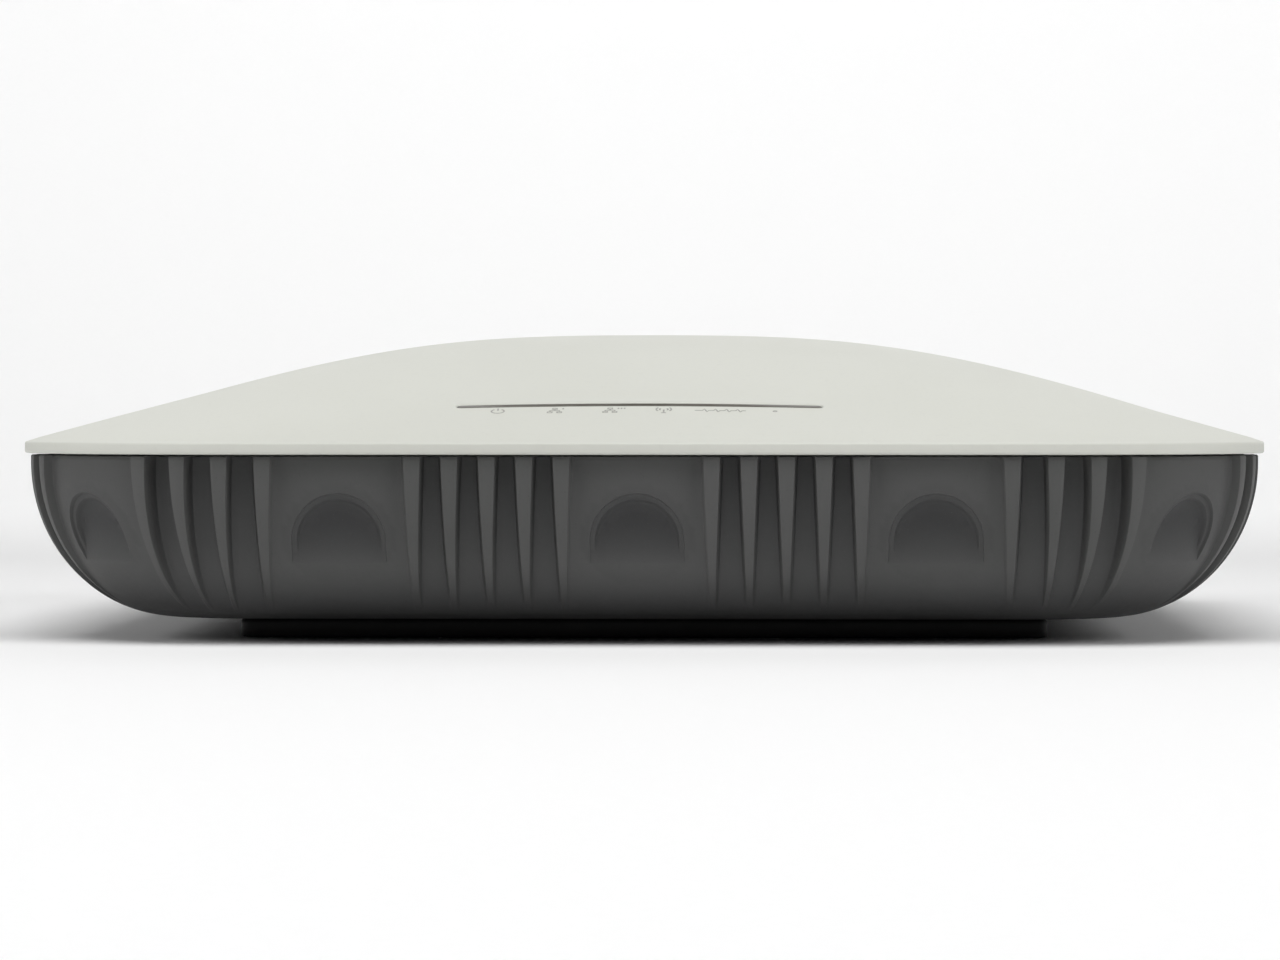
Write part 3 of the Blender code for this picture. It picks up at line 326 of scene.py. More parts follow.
def solids(name, rods=(), blocks=(), facets=24):
    """Separate rods and blocks in one mesh, for joining or cutting in one go."""
    shape = bmesh.new()
    for radius, start, end in rods:
        start, end = Vector(start), Vector(end)
        turn = Vector((0, 0, 1)).rotation_difference(end - start).to_matrix().to_4x4()
        bmesh.ops.create_cone(
            shape, cap_ends=True, segments=facets, radius1=radius, radius2=radius,
            depth=(end - start).length, matrix=Matrix.Translation((start + end) / 2) @ turn,
        )
    for low, high in blocks:
        low, high = Vector(low), Vector(high)
        placed = Matrix.Translation((low + high) / 2) @ Matrix.Diagonal((*(high - low), 1))
        bmesh.ops.create_cube(shape, size=1, matrix=placed)
    return piece_of(name, shape)


def corner_places(place):
    return [(sx * place, sy * place) for sx, sy in CORNERS]


def at_corners(place, radius, bottom, top):
    """Four upright rods, for solids()."""
    return [(radius, (x, y, bottom), (x, y, top)) for x, y in corner_places(place)]


# ---- finishes
def both_ways(operation):
    """An operator on shades, and its reflected form."""

    def straight(self, other):
        return self.maths(operation, self, other)

    def reflected(self, other):
        return self.maths(operation, other, self)

    return straight, reflected


class Shade:
    """A socket of a finish, which Python's operators work on."""

    def __init__(self, finish, socket):
        self.finish, self.socket = finish, socket

    def maths(self, operation, *values):
        numbered = {index: value for index, value in enumerate(values)}
        return self.finish.node("ShaderNodeMath", {"operation": operation}, numbered)

    __add__, __radd__ = both_ways("ADD")
    __sub__, __rsub__ = both_ways("SUBTRACT")
    __mul__, __rmul__ = both_ways("MULTIPLY")

    def between(self, low, high):
        """0 at the low value, 1 at the high one, and smooth between them."""
        settings = {"interpolation_type": "SMOOTHSTEP"}
        values = {"Value": self, "From Min": low, "From Max": high}
        return self.finish.node("ShaderNodeMapRange", settings, values)


class Finish:
    """A material made node by node."""

    def __init__(self, name, **constants):
        self.material = bpy.data.materials.new(name)
        self.material.use_nodes = True
        self.tree = self.material.node_tree
        self.shader = self.tree.nodes["Principled BSDF"]
        self.place = self.node("ShaderNodeTexCoord", out="Object")
        self.set(**constants)

    def node(self, kind, settings=None, values=None, out=0):
        made = self.tree.nodes.new(kind)
        for key, value in (settings or {}).items():
            setattr(made, key, value)
        for key, value in (values or {}).items():
            self.feed(made.inputs[key], value)
        return Shade(self, made.outputs[out])

    def feed(self, socket, value):
        if isinstance(value, Shade):
            self.tree.links.new(value.socket, socket)
        elif isinstance(value, tuple) and len(value) == 3 and socket.type == "RGBA":
            socket.default_value = (*value, 1)
        else:
            socket.default_value = value

    def set(self, **inputs):
        """Feeds the main shader: base_color, roughness, metallic, coat_weight, normal and constants."""
        for key, value in inputs.items():
            title = key.replace("_", " ").title().replace("Ior", "IOR")
            self.feed(self.shader.inputs[title], value)
        return self

    def noise(self, size, detail=2.0, roughness=0.5, place=None):
        """Noise whose blotches are about size metres wide."""
        values = {"Vector": place or self.place, "Scale": 1 / size}
        values |= {"Detail": detail, "Roughness": roughness}
        return self.node("ShaderNodeTexNoise", None, values)

    def cells(self, size, out="Distance"):
        """Cells about size metres wide: the distance from a cell's middle, or a colour for each cell."""
        return self.node("ShaderNodeTexVoronoi", None, {"Vector": self.place, "Scale": 1 / size}, out)

    def stretched(self, x, y, z):
        """The piece's own coordinates, squeezed or stretched along its axes."""
        return self.node("ShaderNodeMapping", None, {"Vector": self.place, "Scale": (x, y, z)})

    def blend(self, share, first, second):
        values = {"Factor": share, 6: first, 7: second}
        return self.node("ShaderNodeMix", {"data_type": "RGBA"}, values, 2)

    def finished(self, tone, roughness, height=None, distance=0.0, strength=1.0):
        """The material, with its tone, its roughness, and a bump from a height."""
        self.set(base_color=tone, roughness=roughness)
        if height:
            values = {"Strength": strength, "Distance": distance, "Height": height}
            self.set(normal=self.node("ShaderNodeBump", None, values))
        return self.material


def ivory_plastic():
    """Moulded off-white plastic with a fine spark-eroded grain."""
    made = Finish("ivory_plastic", specular_ior_level=0.35)
    cloud, grain = made.noise(0.06, 3), made.noise(0.00035, 3, 0.6)
    speck = made.noise(0.0012, 2)
    tone = made.blend(cloud.between(0.3, 0.7), (0.628, 0.635, 0.582), (0.650, 0.657, 0.604))
    tone = made.blend(speck.between(0.55, 0.75) * 0.10, tone, (0.52, 0.52, 0.48))
    return made.finished(tone, 0.46 + grain * 0.12 + cloud * 0.04, grain, 0.00002, 0.35)


def smoked_lens():
    """Dark translucent plastic, slightly cloudy."""
    made = Finish("smoked_lens", coat_weight=0.3, coat_roughness=0.12)
    cloud = made.noise(0.004, 3)
    tone = made.blend(cloud.between(0.3, 0.7), (0.085, 0.078, 0.060), (0.115, 0.108, 0.088))
    return made.finished(tone, 0.30 + cloud * 0.12)


def printed_grey():
    made = Finish("printed_grey")
    speck = made.noise(0.00025, 3)
    tone = made.blend(speck.between(0.35, 0.75), (0.30, 0.30, 0.275), (0.38, 0.38, 0.35))
    return made.finished(tone, 0.5 + speck * 0.1)


def cast_coating():
    """Charcoal powder coat over a die casting: orange peel, dark specks and light grain flecks, with painted
    shade in the recesses and painted shade darker towards the bottom.
    """
    made = Finish("cast_coating", specular_ior_level=0.45)
    cloud, peel = made.noise(0.030, 3), made.noise(0.0009, 2)
    grain, speck = made.noise(0.00022, 3, 0.6), made.cells(0.0011)
    # The recess attribute carries painted shade for the channels and pockets
    recess = made.node("ShaderNodeAttribute", {"attribute_name": "recess"}, out="Fac")
    height = made.node("ShaderNodeSeparateXYZ", None, {"Vector": made.place}, "Z")
    tone = made.blend(cloud.between(0.3, 0.7), (0.076, 0.077, 0.075), (0.084, 0.084, 0.083))
    # Painted shade: recesses darken towards near black, more in the pockets
    tone = made.blend(recess * (0.9 + cloud * 0.2), tone, (0.030, 0.030, 0.031))
    # Painted shade: the casting gets darker towards its bottom, fading out by 15 mm up
    foot = 1 - height.between(0.0055, 0.0150)
    tone = made.blend(foot * 0.70, tone, (0.024, 0.024, 0.025))
    tone = made.blend(grain.between(0.58, 0.80) * 0.30, tone, (0.125, 0.125, 0.123))
    tone = made.blend((1 - speck.between(0.05, 0.22)) * 0.25, tone, (0.048, 0.048, 0.048))
    return made.finished(tone, 0.50 + peel * 0.10 + grain * 0.08, peel * 0.6 + grain * 0.4, 0.00004, 0.35)


def plate_coating():
    """Black electro-coat on sheet steel, with a few rubbed places."""
    made = Finish("plate_coating", specular_ior_level=0.4)
    cloud, grain = made.noise(0.02, 3), made.noise(0.0003, 3, 0.6)
    rub = made.noise(0.006, 5, 0.6)
    tone = made.blend(cloud, (0.008, 0.008, 0.009), (0.014, 0.014, 0.015))
    tone = made.blend(rub.between(0.66, 0.74) * 0.3, tone, (0.05, 0.05, 0.052))
    rough = 0.46 + cloud * 0.10 - rub.between(0.66, 0.74) * 0.1
    return made.finished(tone, rough, grain, 0.00002, 0.3)


def bright_steel():
    """Zinc-plated steel with turning marks."""
    made = Finish("bright_steel", metallic=1.0)
    marks = made.noise(0.0004, 3, 0.6, made.stretched(1, 1, 6))
    cloud = made.noise(0.002, 3)
    tone = made.blend(cloud, (0.50, 0.50, 0.51), (0.64, 0.64, 0.66))
    return made.finished(tone, 0.26 + marks * 0.16, marks, 0.00001, 0.3)


def bay_plastic(name="bay_plastic", tone_low=(0.014, 0.014, 0.015), tone_high=(0.024, 0.024, 0.025)):
    """Black moulded plastic with an even leather grain."""
    made = Finish(name, specular_ior_level=0.4)
    cloud, grain = made.noise(0.012, 3), made.cells(0.0005)
    return made.finished(made.blend(cloud, tone_low, tone_high), 0.48 + grain * 0.15, grain, 0.00002, 0.3)


def tin_plate(name, tone_low, tone_high, rough=0.26):
    """Rolled sheet with a fine grain along one way and a spangle across it."""
    made = Finish(name, metallic=1.0)
    rolled = made.noise(0.0006, 4, 0.6, made.stretched(0.08, 1, 1))
    spangle = made.cells(0.004, out="Color")
    share = rolled * 0.7 + made.noise(0.01, 3) * 0.3
    tone = made.blend(share, tone_low, tone_high)
    tone = made.blend(0.06, tone, spangle)
    return made.finished(tone, rough + rolled * 0.16, rolled, 0.00001, 0.25)


def circuit_board():
    """Green solder mask over copper traces, with tinned dots where vias are."""
    made = Finish("circuit_board", specular_ior_level=0.5)
    wave = {"wave_type": "BANDS", "bands_direction": "DIAGONAL"}
    shifted = {0: made.cells(0.011, out="Color"), 1: (0.008,) * 3, 2: made.place}
    bent = made.node("ShaderNodeVectorMath", {"operation": "MULTIPLY_ADD"}, shifted)
    traces = made.node("ShaderNodeTexWave", wave, {"Vector": bent, "Scale": 260.0, "Distortion": 0.0})
    vias = 1 - made.cells(0.0028).between(0.10, 0.16)
    patch = made.noise(0.012, 1).between(0.42, 0.50)
    tone = made.blend(made.noise(0.03, 2), (0.010, 0.085, 0.040), (0.016, 0.115, 0.055))
    tone = made.blend(traces.between(0.55, 0.70) * patch * 0.6, tone, (0.030, 0.190, 0.080))
    tone = made.blend(vias * 0.9, tone, (0.55, 0.53, 0.48))
    made.set(metallic=vias * 0.8)
    height = traces.between(0.5, 0.7) * patch + vias
    return made.finished(tone, 0.32 + vias * 0.1, height, 0.00003, 0.5)


def chip_resin():
    made = Finish("chip_resin", specular_ior_level=0.35)
    grain, cloud = made.noise(0.0002, 3, 0.6), made.noise(0.004, 2)
    tone = made.blend(grain * 0.6 + cloud * 0.4, (0.014, 0.014, 0.015), (0.036, 0.036, 0.038))
    return made.finished(tone, 0.42 + grain * 0.22, grain, 0.00002, 0.4)


def thermal_pad():
    made = Finish("thermal_pad", specular_ior_level=0.25)
    fill, weave = made.noise(0.0004, 4, 0.7), made.cells(0.0006)
    tone = made.blend(fill.between(0.35, 0.65), (0.25, 0.30, 0.36), (0.36, 0.40, 0.46))
    return made.finished(tone, 0.75 + fill * 0.15, weave, 0.00004, 0.5)


def clear_plastic():
    made = Finish("clear_plastic", transmission_weight=0.85, ior=1.49)
    cloud = made.noise(0.003, 3)
    tone = made.blend(cloud, (0.80, 0.83, 0.84), (0.92, 0.94, 0.95))
    return made.finished(tone, 0.14 + cloud * 0.12)


def cable_jacket():
    made = Finish("cable_jacket", specular_ior_level=0.4)
    grain = made.noise(0.0003, 3, 0.6)
    tone = made.blend(grain, (0.012, 0.012, 0.013), (0.030, 0.030, 0.032))
    return made.finished(tone, 0.45 + grain * 0.2, grain, 0.00002, 0.3)


IVORY = ivory_plastic()
LENS = smoked_lens()
PRINT = printed_grey()
COATING = cast_coating()
PLATE_COAT = plate_coating()
STEEL = bright_steel()
BAY = bay_plastic()
KEY = bay_plastic("button_plastic", (0.020, 0.020, 0.021), (0.034, 0.034, 0.036))
JACK = tin_plate("jack_metal", (0.46, 0.46, 0.45), (0.66, 0.66, 0.64))
SHEET = tin_plate("tin_plate", (0.52, 0.52, 0.51), (0.70, 0.70, 0.68), 0.3)
BRASS = tin_plate("antenna_metal", (0.58, 0.34, 0.16), (0.74, 0.48, 0.26))
GOLD = tin_plate("contact_gold", (0.70, 0.50, 0.18), (0.86, 0.66, 0.28), 0.2)
BOARD = circuit_board()
RESIN = chip_resin()
THERMAL = thermal_pad()
CLEAR = clear_plastic()
JACKET = cable_jacket()


# ---- the cover's form
def outline_reach(angle, half, corner):
    """From the centre to a rounded square's outline, in one direction."""
    along, across = abs(cos(angle)), abs(sin(angle))
    longer, shorter = max(along, across), min(along, across)
    flat = half - corner
    if shorter * half <= flat * longer:
        return half / longer
    middle = flat * (longer + shorter)
    return middle + sqrt(middle * middle - 2 * flat * flat + corner * corner)


def bezier(share, points):
    rest = 1 - share
    weights = (rest**3, 3 * rest**2 * share, 3 * rest * share**2, share**3)
    return sum(weight * point for weight, point in zip(weights, points))


def solve_rising(value_at, wanted):
    """Where a rising function of 0 to 1 reaches a value."""
    low, high = 0.0, 1.0
    for _ in range(32):
        middle = (low + high) / 2
        low, high = (middle, high) if value_at(middle) < wanted else (low, middle)
    return (low + high) / 2


def crown_rise(share):
    """Height over the rim at a share of the way from the centre to the rim."""
    runs = (0.0, CROWN_LEVEL, COVER_HALF - CROWN_RUN, COVER_HALF)
    rises = (CROWN_RISE, CROWN_RISE, CROWN_SLOPE * CROWN_RUN, 0.0)
    along = solve_rising(lambda u: bezier(u, runs), share * COVER_HALF)
    return bezier(along, rises)


def crown_reach(share, angle):
    """Plan distance of a level line: round near the centre, like the rim at the edge."""
    square = share**CROWN_ROUNDING
    rim = outline_reach(angle, COVER_HALF, COVER_CORNER)
    return share * (COVER_HALF * (1 - square) + rim * square)


def crown_height(x, y):
    angle = atan2(y, x)
    return RIM_TOP + crown_rise(solve_rising(lambda s: crown_reach(s, angle), hypot(x, y)))


def rim_angles(flat_steps=24, corner_steps=20):
    flat = COVER_HALF - COVER_CORNER
    angles = []
    for side in range(4):
        for step in range(flat_steps):
            along = -flat + 2 * flat * step / flat_steps
            angles.append(atan2(along, COVER_HALF) + side * pi / 2)
        for step in range(corner_steps):
            turn = pi / 2 * step / corner_steps
            x, y = flat + COVER_CORNER * cos(turn), flat + COVER_CORNER * sin(turn)
            angles.append(atan2(y, x) + side * pi / 2)
    return angles


RIM_ANGLES = rim_angles()


def rim_ring(inset_by, height):
    ring = []
    for angle in RIM_ANGLES:
        reach = outline_reach(angle, COVER_HALF - inset_by, COVER_CORNER - inset_by)
        x, y = reach * cos(angle), reach * sin(angle)
        ring.append((x, y, height(x, y) if callable(height) else height))
    return ring


def crown_ring(share, below=0.0):
    height = RIM_TOP + crown_rise(share) - below
    reaches = [(crown_reach(share, angle), angle) for angle in RIM_ANGLES]
    return [(reach * cos(angle), reach * sin(angle), height) for reach, angle in reaches]


def strip_outline(length, width, pieces=24, facets=8):
    """Plan outline of the indicator strip: long, thin and round-ended."""
    radius = width / 2
    straight = length / 2 - radius
    points = []
    for side in (1, -1):
        for step in range(facets + 1):
            turn = radians(-90 + 180 * step / facets)
            points.append((side * (straight + radius * cos(turn)), STRIP_Y + side * radius * sin(turn)))
        for step in range(1, pieces):
            points.append((side * straight * (1 - 2 * step / pieces), STRIP_Y + side * radius))
    return points


def strip_solid(name, levels):
    """A strip whose cross-section is a list of growths over its width and depths below the crown."""
    rings = []
    for growth, below in levels:
        outline = strip_outline(STRIP_LENGTH + 2 * growth, STRIP_WIDTH + 2 * growth)
        rings.append([(x, y, crown_height(x, y) - below) for x, y in outline])
    return skin(name, rings)


def make_cover():
    crown_steps, round_steps = 52, 4
    rings = [[(0, 0, RIM_TOP + CROWN_RISE)]]
    rings += [crown_ring((step / crown_steps) ** 0.9) for step in range(1, crown_steps)]
    for step in range(round_steps + 1):
        turn = pi / 2 * step / round_steps
        drop = RIM_ROUND * (1 - cos(turn))
        rings.append(rim_ring(RIM_ROUND * (1 - sin(turn)), RIM_TOP - drop))
    for step in range(round_steps + 1):
        turn = pi / 2 * step / round_steps
        rings.append(rim_ring(RIM_ROUND * (1 - cos(turn)), RIM_BOTTOM + RIM_ROUND * (1 - sin(turn))))
    rings += [rim_ring(LIP_INSET, RIM_BOTTOM), rim_ring(LIP_INSET, RIM_BOTTOM - LIP_DROP)]
    inner = LIP_INSET + LIP_WALL
    rings += [rim_ring(inner, RIM_BOTTOM - LIP_DROP)]
    rings += [rim_ring(inner, lambda x, y: crown_height(x, y) - COVER_WALL)]
    rings += [crown_ring(share, COVER_WALL) for share in (0.88, 0.78, 0.66, 0.52, 0.38, 0.24, 0.12)]
    rings += [[(0, 0, RIM_TOP + CROWN_RISE - COVER_WALL)]]
    cover = skin("domed_cover", rings)

    posts = [
        (BOSS_RADIUS, (x, y, BOSS_FOOT), (x, y, crown_height(x, y) - COVER_WALL / 2))
        for x, y in corner_places(SCREW_PLACE)
    ]
    carve(cover, solids("cover_bosses", posts), "UNION")
    carve(cover, solids("boss_bores", at_corners(SCREW_PLACE, SCREW_BORE, BOSS_FOOT - BEYOND / 2, BORE_TOP)))
    slot = ((0.0008, -0.0005), (0.00015, 0.00018), (0.00015, 2 * STRIP_DEPTH))
    carve(cover, strip_solid("strip_slot", slot))
    smooth(cover, 28)
    place_piece(cover, IVORY, ["top_cover"])


def make_lens():
    levels = ((-0.00045, 0.00005), (-0.00020, 0.00007), (-0.00005, 0.00013), (0, 0.00026))
    lens = strip_solid("indicator_lens", (*levels, (0, STRIP_DEPTH)))
    smooth(lens, 50)
    place_piece(lens, LENS, ["led_lens"])


# ---- marks printed under the strip
MARK_Y = -0.0984
MARK_PEN = 0.00030
MARK_HEIGHT = 0.000025
MARK_PIECE = 0.0008


def arc(x, y, radius, first, last, steps=14):
    turns = [radians(first + (last - first) * step / steps) for step in range(steps + 1)]
    return [(x + radius * cos(turn), y + radius * sin(turn)) for turn in turns]


def box_line(x, y, width, height):
    x1, y1, x2, y2 = x - width / 2, y - height / 2, x + width / 2, y + height / 2
    return [(x1, y1), (x2, y1), (x2, y2), (x1, y2), (x1, y1)]


def power_mark():
    return [arc(0, 0, 1.15, 125, 415), [(0, 0.35), (0, 1.55)]]


def network_mark(extra):
    """Three boxes on a branching line, with a few ticks beside them."""
    lines = [box_line(x, y, 0.8, 0.6) for x, y in ((0, 0.95), (-0.85, -0.95), (0.85, -0.95))]
    lines += [[(0, 0.6), (0, 0.0)], [(-0.85, -0.6), (-0.85, 0.0), (0.85, 0.0), (0.85, -0.6)]]
    return lines + [[(1.5 + 0.55 * i, 0.7), (1.5 + 0.55 * i, 1.3)] for i in range(extra)]


def aerial_mark():
    waves = [arc(0, 0.5, radius, first, first + 80) for radius in (0.75, 1.35) for first in (-40, 140)]
    return waves + [[(0, 0.3), (0, -1.4)], [(-0.45, -1.4), (0.45, -1.4)]]


def pulse_mark():
    """A plain row of pulses."""
    points = [(-4.6, 0)]
    for x in (-3.2, -1.2, 0.8, 2.8):
        points += [(x, 0), (x + 0.35, 0.8), (x + 0.8, -0.7), (x + 1.15, 0)]
    return [points + [(4.6, 0)]]


def dot_mark():
    return [arc(0, 0, 0.30, 0, 360, 10)]


def stroke(shape, centre, line):
    """A printed line that lies on the crown, from points in millimetres about its mark's centre."""
    points = [Vector((centre + x / 1000, MARK_Y + y / 1000)) for x, y in line]
    dense = [points[0]]
    for start, end in zip(points, points[1:]):
        steps = max(1, round((end - start).length / MARK_PIECE))
        dense += [start.lerp(end, step / steps) for step in range(1, steps + 1)]
    edges = []
    for i, point in enumerate(dense):
        ahead = dense[min(i + 1, len(dense) - 1)] - point
        behind = point - dense[max(i - 1, 0)]
        along = (ahead.normalized() + behind.normalized()).normalized()
        side = Vector((-along.y, along.x)) * MARK_PEN / 2
        row = []
        for plan in (point + side, point - side):
            height = crown_height(*plan)
            row += [(*plan, height + MARK_HEIGHT), (*plan, height - MARK_HEIGHT)]
        edges.append([shape.verts.new(place) for place in row])
    for near, far in zip(edges, edges[1:]):
        for a, b in ((0, 2), (2, 3), (3, 1), (1, 0)):
            shape.faces.new((near[a], near[b], far[b], far[a]))
    for end in (edges[0], edges[-1]):
        shape.faces.new((end[0], end[1], end[3], end[2]))


def make_marks():
    shape = bmesh.new()
    marks = (
        (-0.0255, power_mark()), (-0.0152, network_mark(1)), (-0.0052, network_mark(3)),
        (0.0045, aerial_mark()), (0.0147, pulse_mark()), (0.0246, dot_mark()),
    )
    for centre, lines in marks:
        for line in lines:
            stroke(shape, centre, line)
    bmesh.ops.recalc_face_normals(shape, faces=shape.faces)
    place_piece(piece_of("printed_marks", shape), PRINT)


# ---- the finned casting
# A fin's side, from the crest outwards: millimetres beyond the crest's edge, and depth as a share
CHANNEL_SIDE = (
    (-0.10, 0.0), (-0.02, 0.008), (0.05, 0.06), (0.26, 0.50), (0.44, 0.86), (0.60, 0.96), (0.90, 1.0),
)
PANEL_SIDE = (
    (-0.10, 0.0), (-0.02, 0.008), (0.06, 0.06), (0.26, 0.34), (0.50, 0.44), (1.00, 0.47), (1.80, 0.47),
)
CHANNEL_STEPS = 3
PANEL_STEPS = 24
WALL_STEPS = 42


def wall_inset(height):
    """How far the wall has drawn in, at a height above the casting's underside."""
    share = min(1.0, max(0.0, CURVE_HEIGHT - height) / CURVE_HEIGHT)
    return BODY_TUCK * (1 - sqrt(1 - share * share))


def fading(height):
    """0 at the top of the fins, 1 where they have run out."""
    return min(1.0, max(0.0, (BODY_HEIGHT - height) / (BODY_HEIGHT - FIN_FOOT_RISE)))


def relief_at(height):
    """How far the channels lie behind the crests."""
    return FIN_HEIGHT * (1 - fading(height) ** FIN_FADING)


def outline_station(along):
    side = -1 if along < 0 else 1
    beyond = abs(along) - BODY_FLAT
    return (along, 0.0) if beyond <= 0 else (side * BODY_FLAT, side * beyond / BODY_CORNER)


def outline_point(along, inset_by, quarter, height):
    flat, turn = outline_station(along)
    radius = BODY_CORNER - inset_by
    x, y = flat + radius * sin(turn), -(BODY_FLAT + radius * cos(turn))
    for _ in range(quarter):
        x, y = -y, x
    return x, y, BODY_BOTTOM + height


def fin_groups():
    """Fin centres as distances from a side's middle, for half a side: on the flat, and round the corner."""
    groups = []
    corner_room = BODY_FLAT + CORNER_LENGTH - CORNER_PANEL_HALF - CORNER_GROUP
    for start, room in ((PANEL_HALF, CORNER_GROUP - 3 * PANEL_HALF), (CORNER_GROUP, corner_room)):
        gaps = max(1, floor(room / FIN_PITCH + 0.5))
        groups.append([start + room * step / gaps for step in range(gaps + 1)])
    return groups


def half_side_columns():
    """Upright lines of half a side: a place, how much of half the crest's width adds to it, a depth."""
    flat_fins, corner_fins = fin_groups()
    fins = flat_fins + corner_fins
    beside_panel = {(flat_fins[0], -1), (flat_fins[-1], 1), (corner_fins[0], -1), (corner_fins[-1], 1)}
    columns = []

    def side_of(fin, side):
        return PANEL_SIDE if (fin, side) in beside_panel else CHANNEL_SIDE

    def root(fin, side):
        return fin + side * side_of(fin, side)[-1][0] / 1000, side

    def span(start, end, panel, steps):
        """Lines between two fins' roots; a panel rises a little towards its middle."""
        pieces = PANEL_STEPS if panel else CHANNEL_STEPS
        for step in steps or range(1, pieces):
            share = step / pieces
            place = start[0] * (1 - share) + end[0] * share
            crests = start[1] * (1 - share) + end[1] * share
            valley = (2 * share - 1) ** 2
            depth = PANEL_SHARE + (PANEL_SIDE[-1][1] - PANEL_SHARE) * valley if panel else 1.0
            columns.append((place, crests, depth))

    first, last = root(fins[0], -1), root(fins[-1], 1)
    span((-first[0], -first[1]), first, True, range(PANEL_STEPS // 2, PANEL_STEPS))
    for index, fin in enumerate(fins):
        for side in (-1, 1):
            lines = [(fin + side * beyond / 1000, side, depth) for beyond, depth in side_of(fin, side)]
            columns += lines[::-1] + [(fin, 0, 0.0)] if side < 0 else lines
        if index + 1 < len(fins):
            span(root(fin, 1), root(fins[index + 1], -1), fin == flat_fins[-1], None)
    mirrored = (2 * (BODY_FLAT + CORNER_LENGTH) - last[0], -1)
    span(last, mirrored, True, range(1, PANEL_STEPS // 2 + 1))
    return columns


def wall_rows():
    """Heights of the wall's level lines, with the break of its top edge."""
    breaks = ((0.0, 0.00030), (0.00010, 0.00010), (0.00030, 0.0), (0.00090, 0.0))
    rows = [(BODY_HEIGHT - below, drawn_in) for below, drawn_in in breaks]
    rows += [(CURVE_HEIGHT * (1 - sin(pi / 2 * step / WALL_STEPS)), 0.0) for step in range(WALL_STEPS)]
    return rows + [(0.0, 0.0)]


def make_wall():
    half = half_side_columns()
    mirrored = [(-place, -crests, depth) for place, crests, depth in half[:0:-1]][1:]
    rings = []
    for height, broken in wall_rows():
        fade = fading(height)
        crest = FIN_CREST_TOP + (FIN_CREST_FOOT - FIN_CREST_TOP) * fade
        base, relief = wall_inset(height) + broken, relief_at(height)
        rings.append([
            outline_point(place + crests * crest / 2, base + relief * depth, quarter, height)
            for quarter in range(4)
            for place, crests, depth in mirrored + half
        ])
    return skin("finned_casting", rings)


def cavity_ring(height, inset_by):
    half, corner = BODY_HALF - inset_by, BODY_CORNER - inset_by
    points = []
    for quarter in range(4):
        for step in range(13):
            turn = radians(90 * quarter + 90 * step / 12)
            cx = (half - corner) * (1 if quarter in (0, 3) else -1)
            cy = (half - corner) * (1 if quarter in (0, 1) else -1)
            points.append((cx + corner * cos(turn), cy + corner * sin(turn), height))
    return points


def make_cavity():
    top = BODY_BOTTOM + CURVE_HEIGHT
    rings = [cavity_ring(BODY_BOTTOM + BODY_HEIGHT + BEYOND, CAVITY_INSET)]
    for degrees in range(0, 91, 10):
        turn = radians(degrees)
        height = top - (top - FLOOR_TOP) * sin(turn)
        rings.append(cavity_ring(height, CAVITY_INSET + CAVITY_TUCK * (1 - cos(turn))))
    return skin("casting_cavity", rings)


# A pocket's edge, from outside it inwards: millimetres in from its outline, and depth below the panel
POCKET_STEPS = ((-0.50, -0.30), (-0.05, 0.06), (0.10, 0.30), (0.22, 0.78), (0.36, 0.88),
                (0.96, 0.96), (1.10, 1.10), (1.26, 1.62), (1.50, 1.85), (2.00, 2.20))
POCKET_CENTRE = POCKET_TOP - POCKET_RADIUS
POCKET_END = POCKET_FOOT - 0.0016
POCKET_OUTSIDE = 0.006
POCKET_REACH = 0.0102
# Strength of the painted shade in the channels and in the pockets
PAINTED_SHADE_IN_CHANNEL, PAINTED_SHADE_IN_POCKET = 0.58, 0.98


def panel_inset(height):
    return wall_inset(height) + relief_at(height) * PANEL_SHARE


def pocket_floor(height):
    """Depth of a pocket's floor below the panel. The floor is straight, and meets the wall at its foot."""
    top, foot = wall_inset(POCKET_TOP) + POCKET_DEPTH, panel_inset(POCKET_FOOT)
    share = (POCKET_TOP - height) / (POCKET_TOP - POCKET_FOOT)
    return top + (foot - top) * share - panel_inset(height)


def pocket_outline(inwards):
    """A half-round head on straight sides, drawn in by a distance, as offsets from the pocket's middle."""
    radius = POCKET_RADIUS - inwards
    turns = [pi * step / 36 for step in range(37)]
    points = [(radius * cos(turn), POCKET_CENTRE + radius * sin(turn)) for turn in turns]
    sides = [POCKET_CENTRE + (POCKET_END - POCKET_CENTRE) * step / 8 for step in range(1, 9)]
    points += [(-radius, height) for height in sides]
    points += [(-radius + 2 * radius * step / 12, POCKET_END) for step in range(1, 12)]
    return points + [(radius, height) for height in sides[::-1]]


def pocket_places():
    side = CORNER_GROUP - PANEL_HALF
    return (-side, 0.0, side, BODY_FLAT + CORNER_LENGTH)


def make_pocket(name, place, quarter):
    def ring(points, depth):
        made = []
        for across, height in points:
            drawn_in = panel_inset(height) + min(depth, pocket_floor(height))
            made.append(outline_point(place + across, drawn_in, quarter, height))
        return made

    rings = [ring(pocket_outline(POCKET_STEPS[0][0] / 1000), -POCKET_OUTSIDE)]
    rings += [ring(pocket_outline(inwards / 1000), depth / 1000) for inwards, depth in POCKET_STEPS]
    inner = pocket_outline(POCKET_STEPS[-1][0] / 1000)
    middle = (0.0, POCKET_CENTRE - 0.002)
    for share in (0.8, 0.6, 0.4, 0.2):
        shrunk = [(across * share, middle[1] + (height - middle[1]) * share) for across, height in inner]
        rings.append(ring(shrunk, 1.0))
    rings.append(ring([middle], 1.0))
    return skin(name, rings)


# Pedestals under the warm chips: a middle and a size
PEDESTALS = (
    ((0.0, -0.0400), (0.0170, 0.0170)), ((-0.0500, 0.0080), (0.0260, 0.0220)),
    ((0.0500, 0.0080), (0.0260, 0.0220)), ((0.0400, -0.0400), (0.0260, 0.0220)),
)


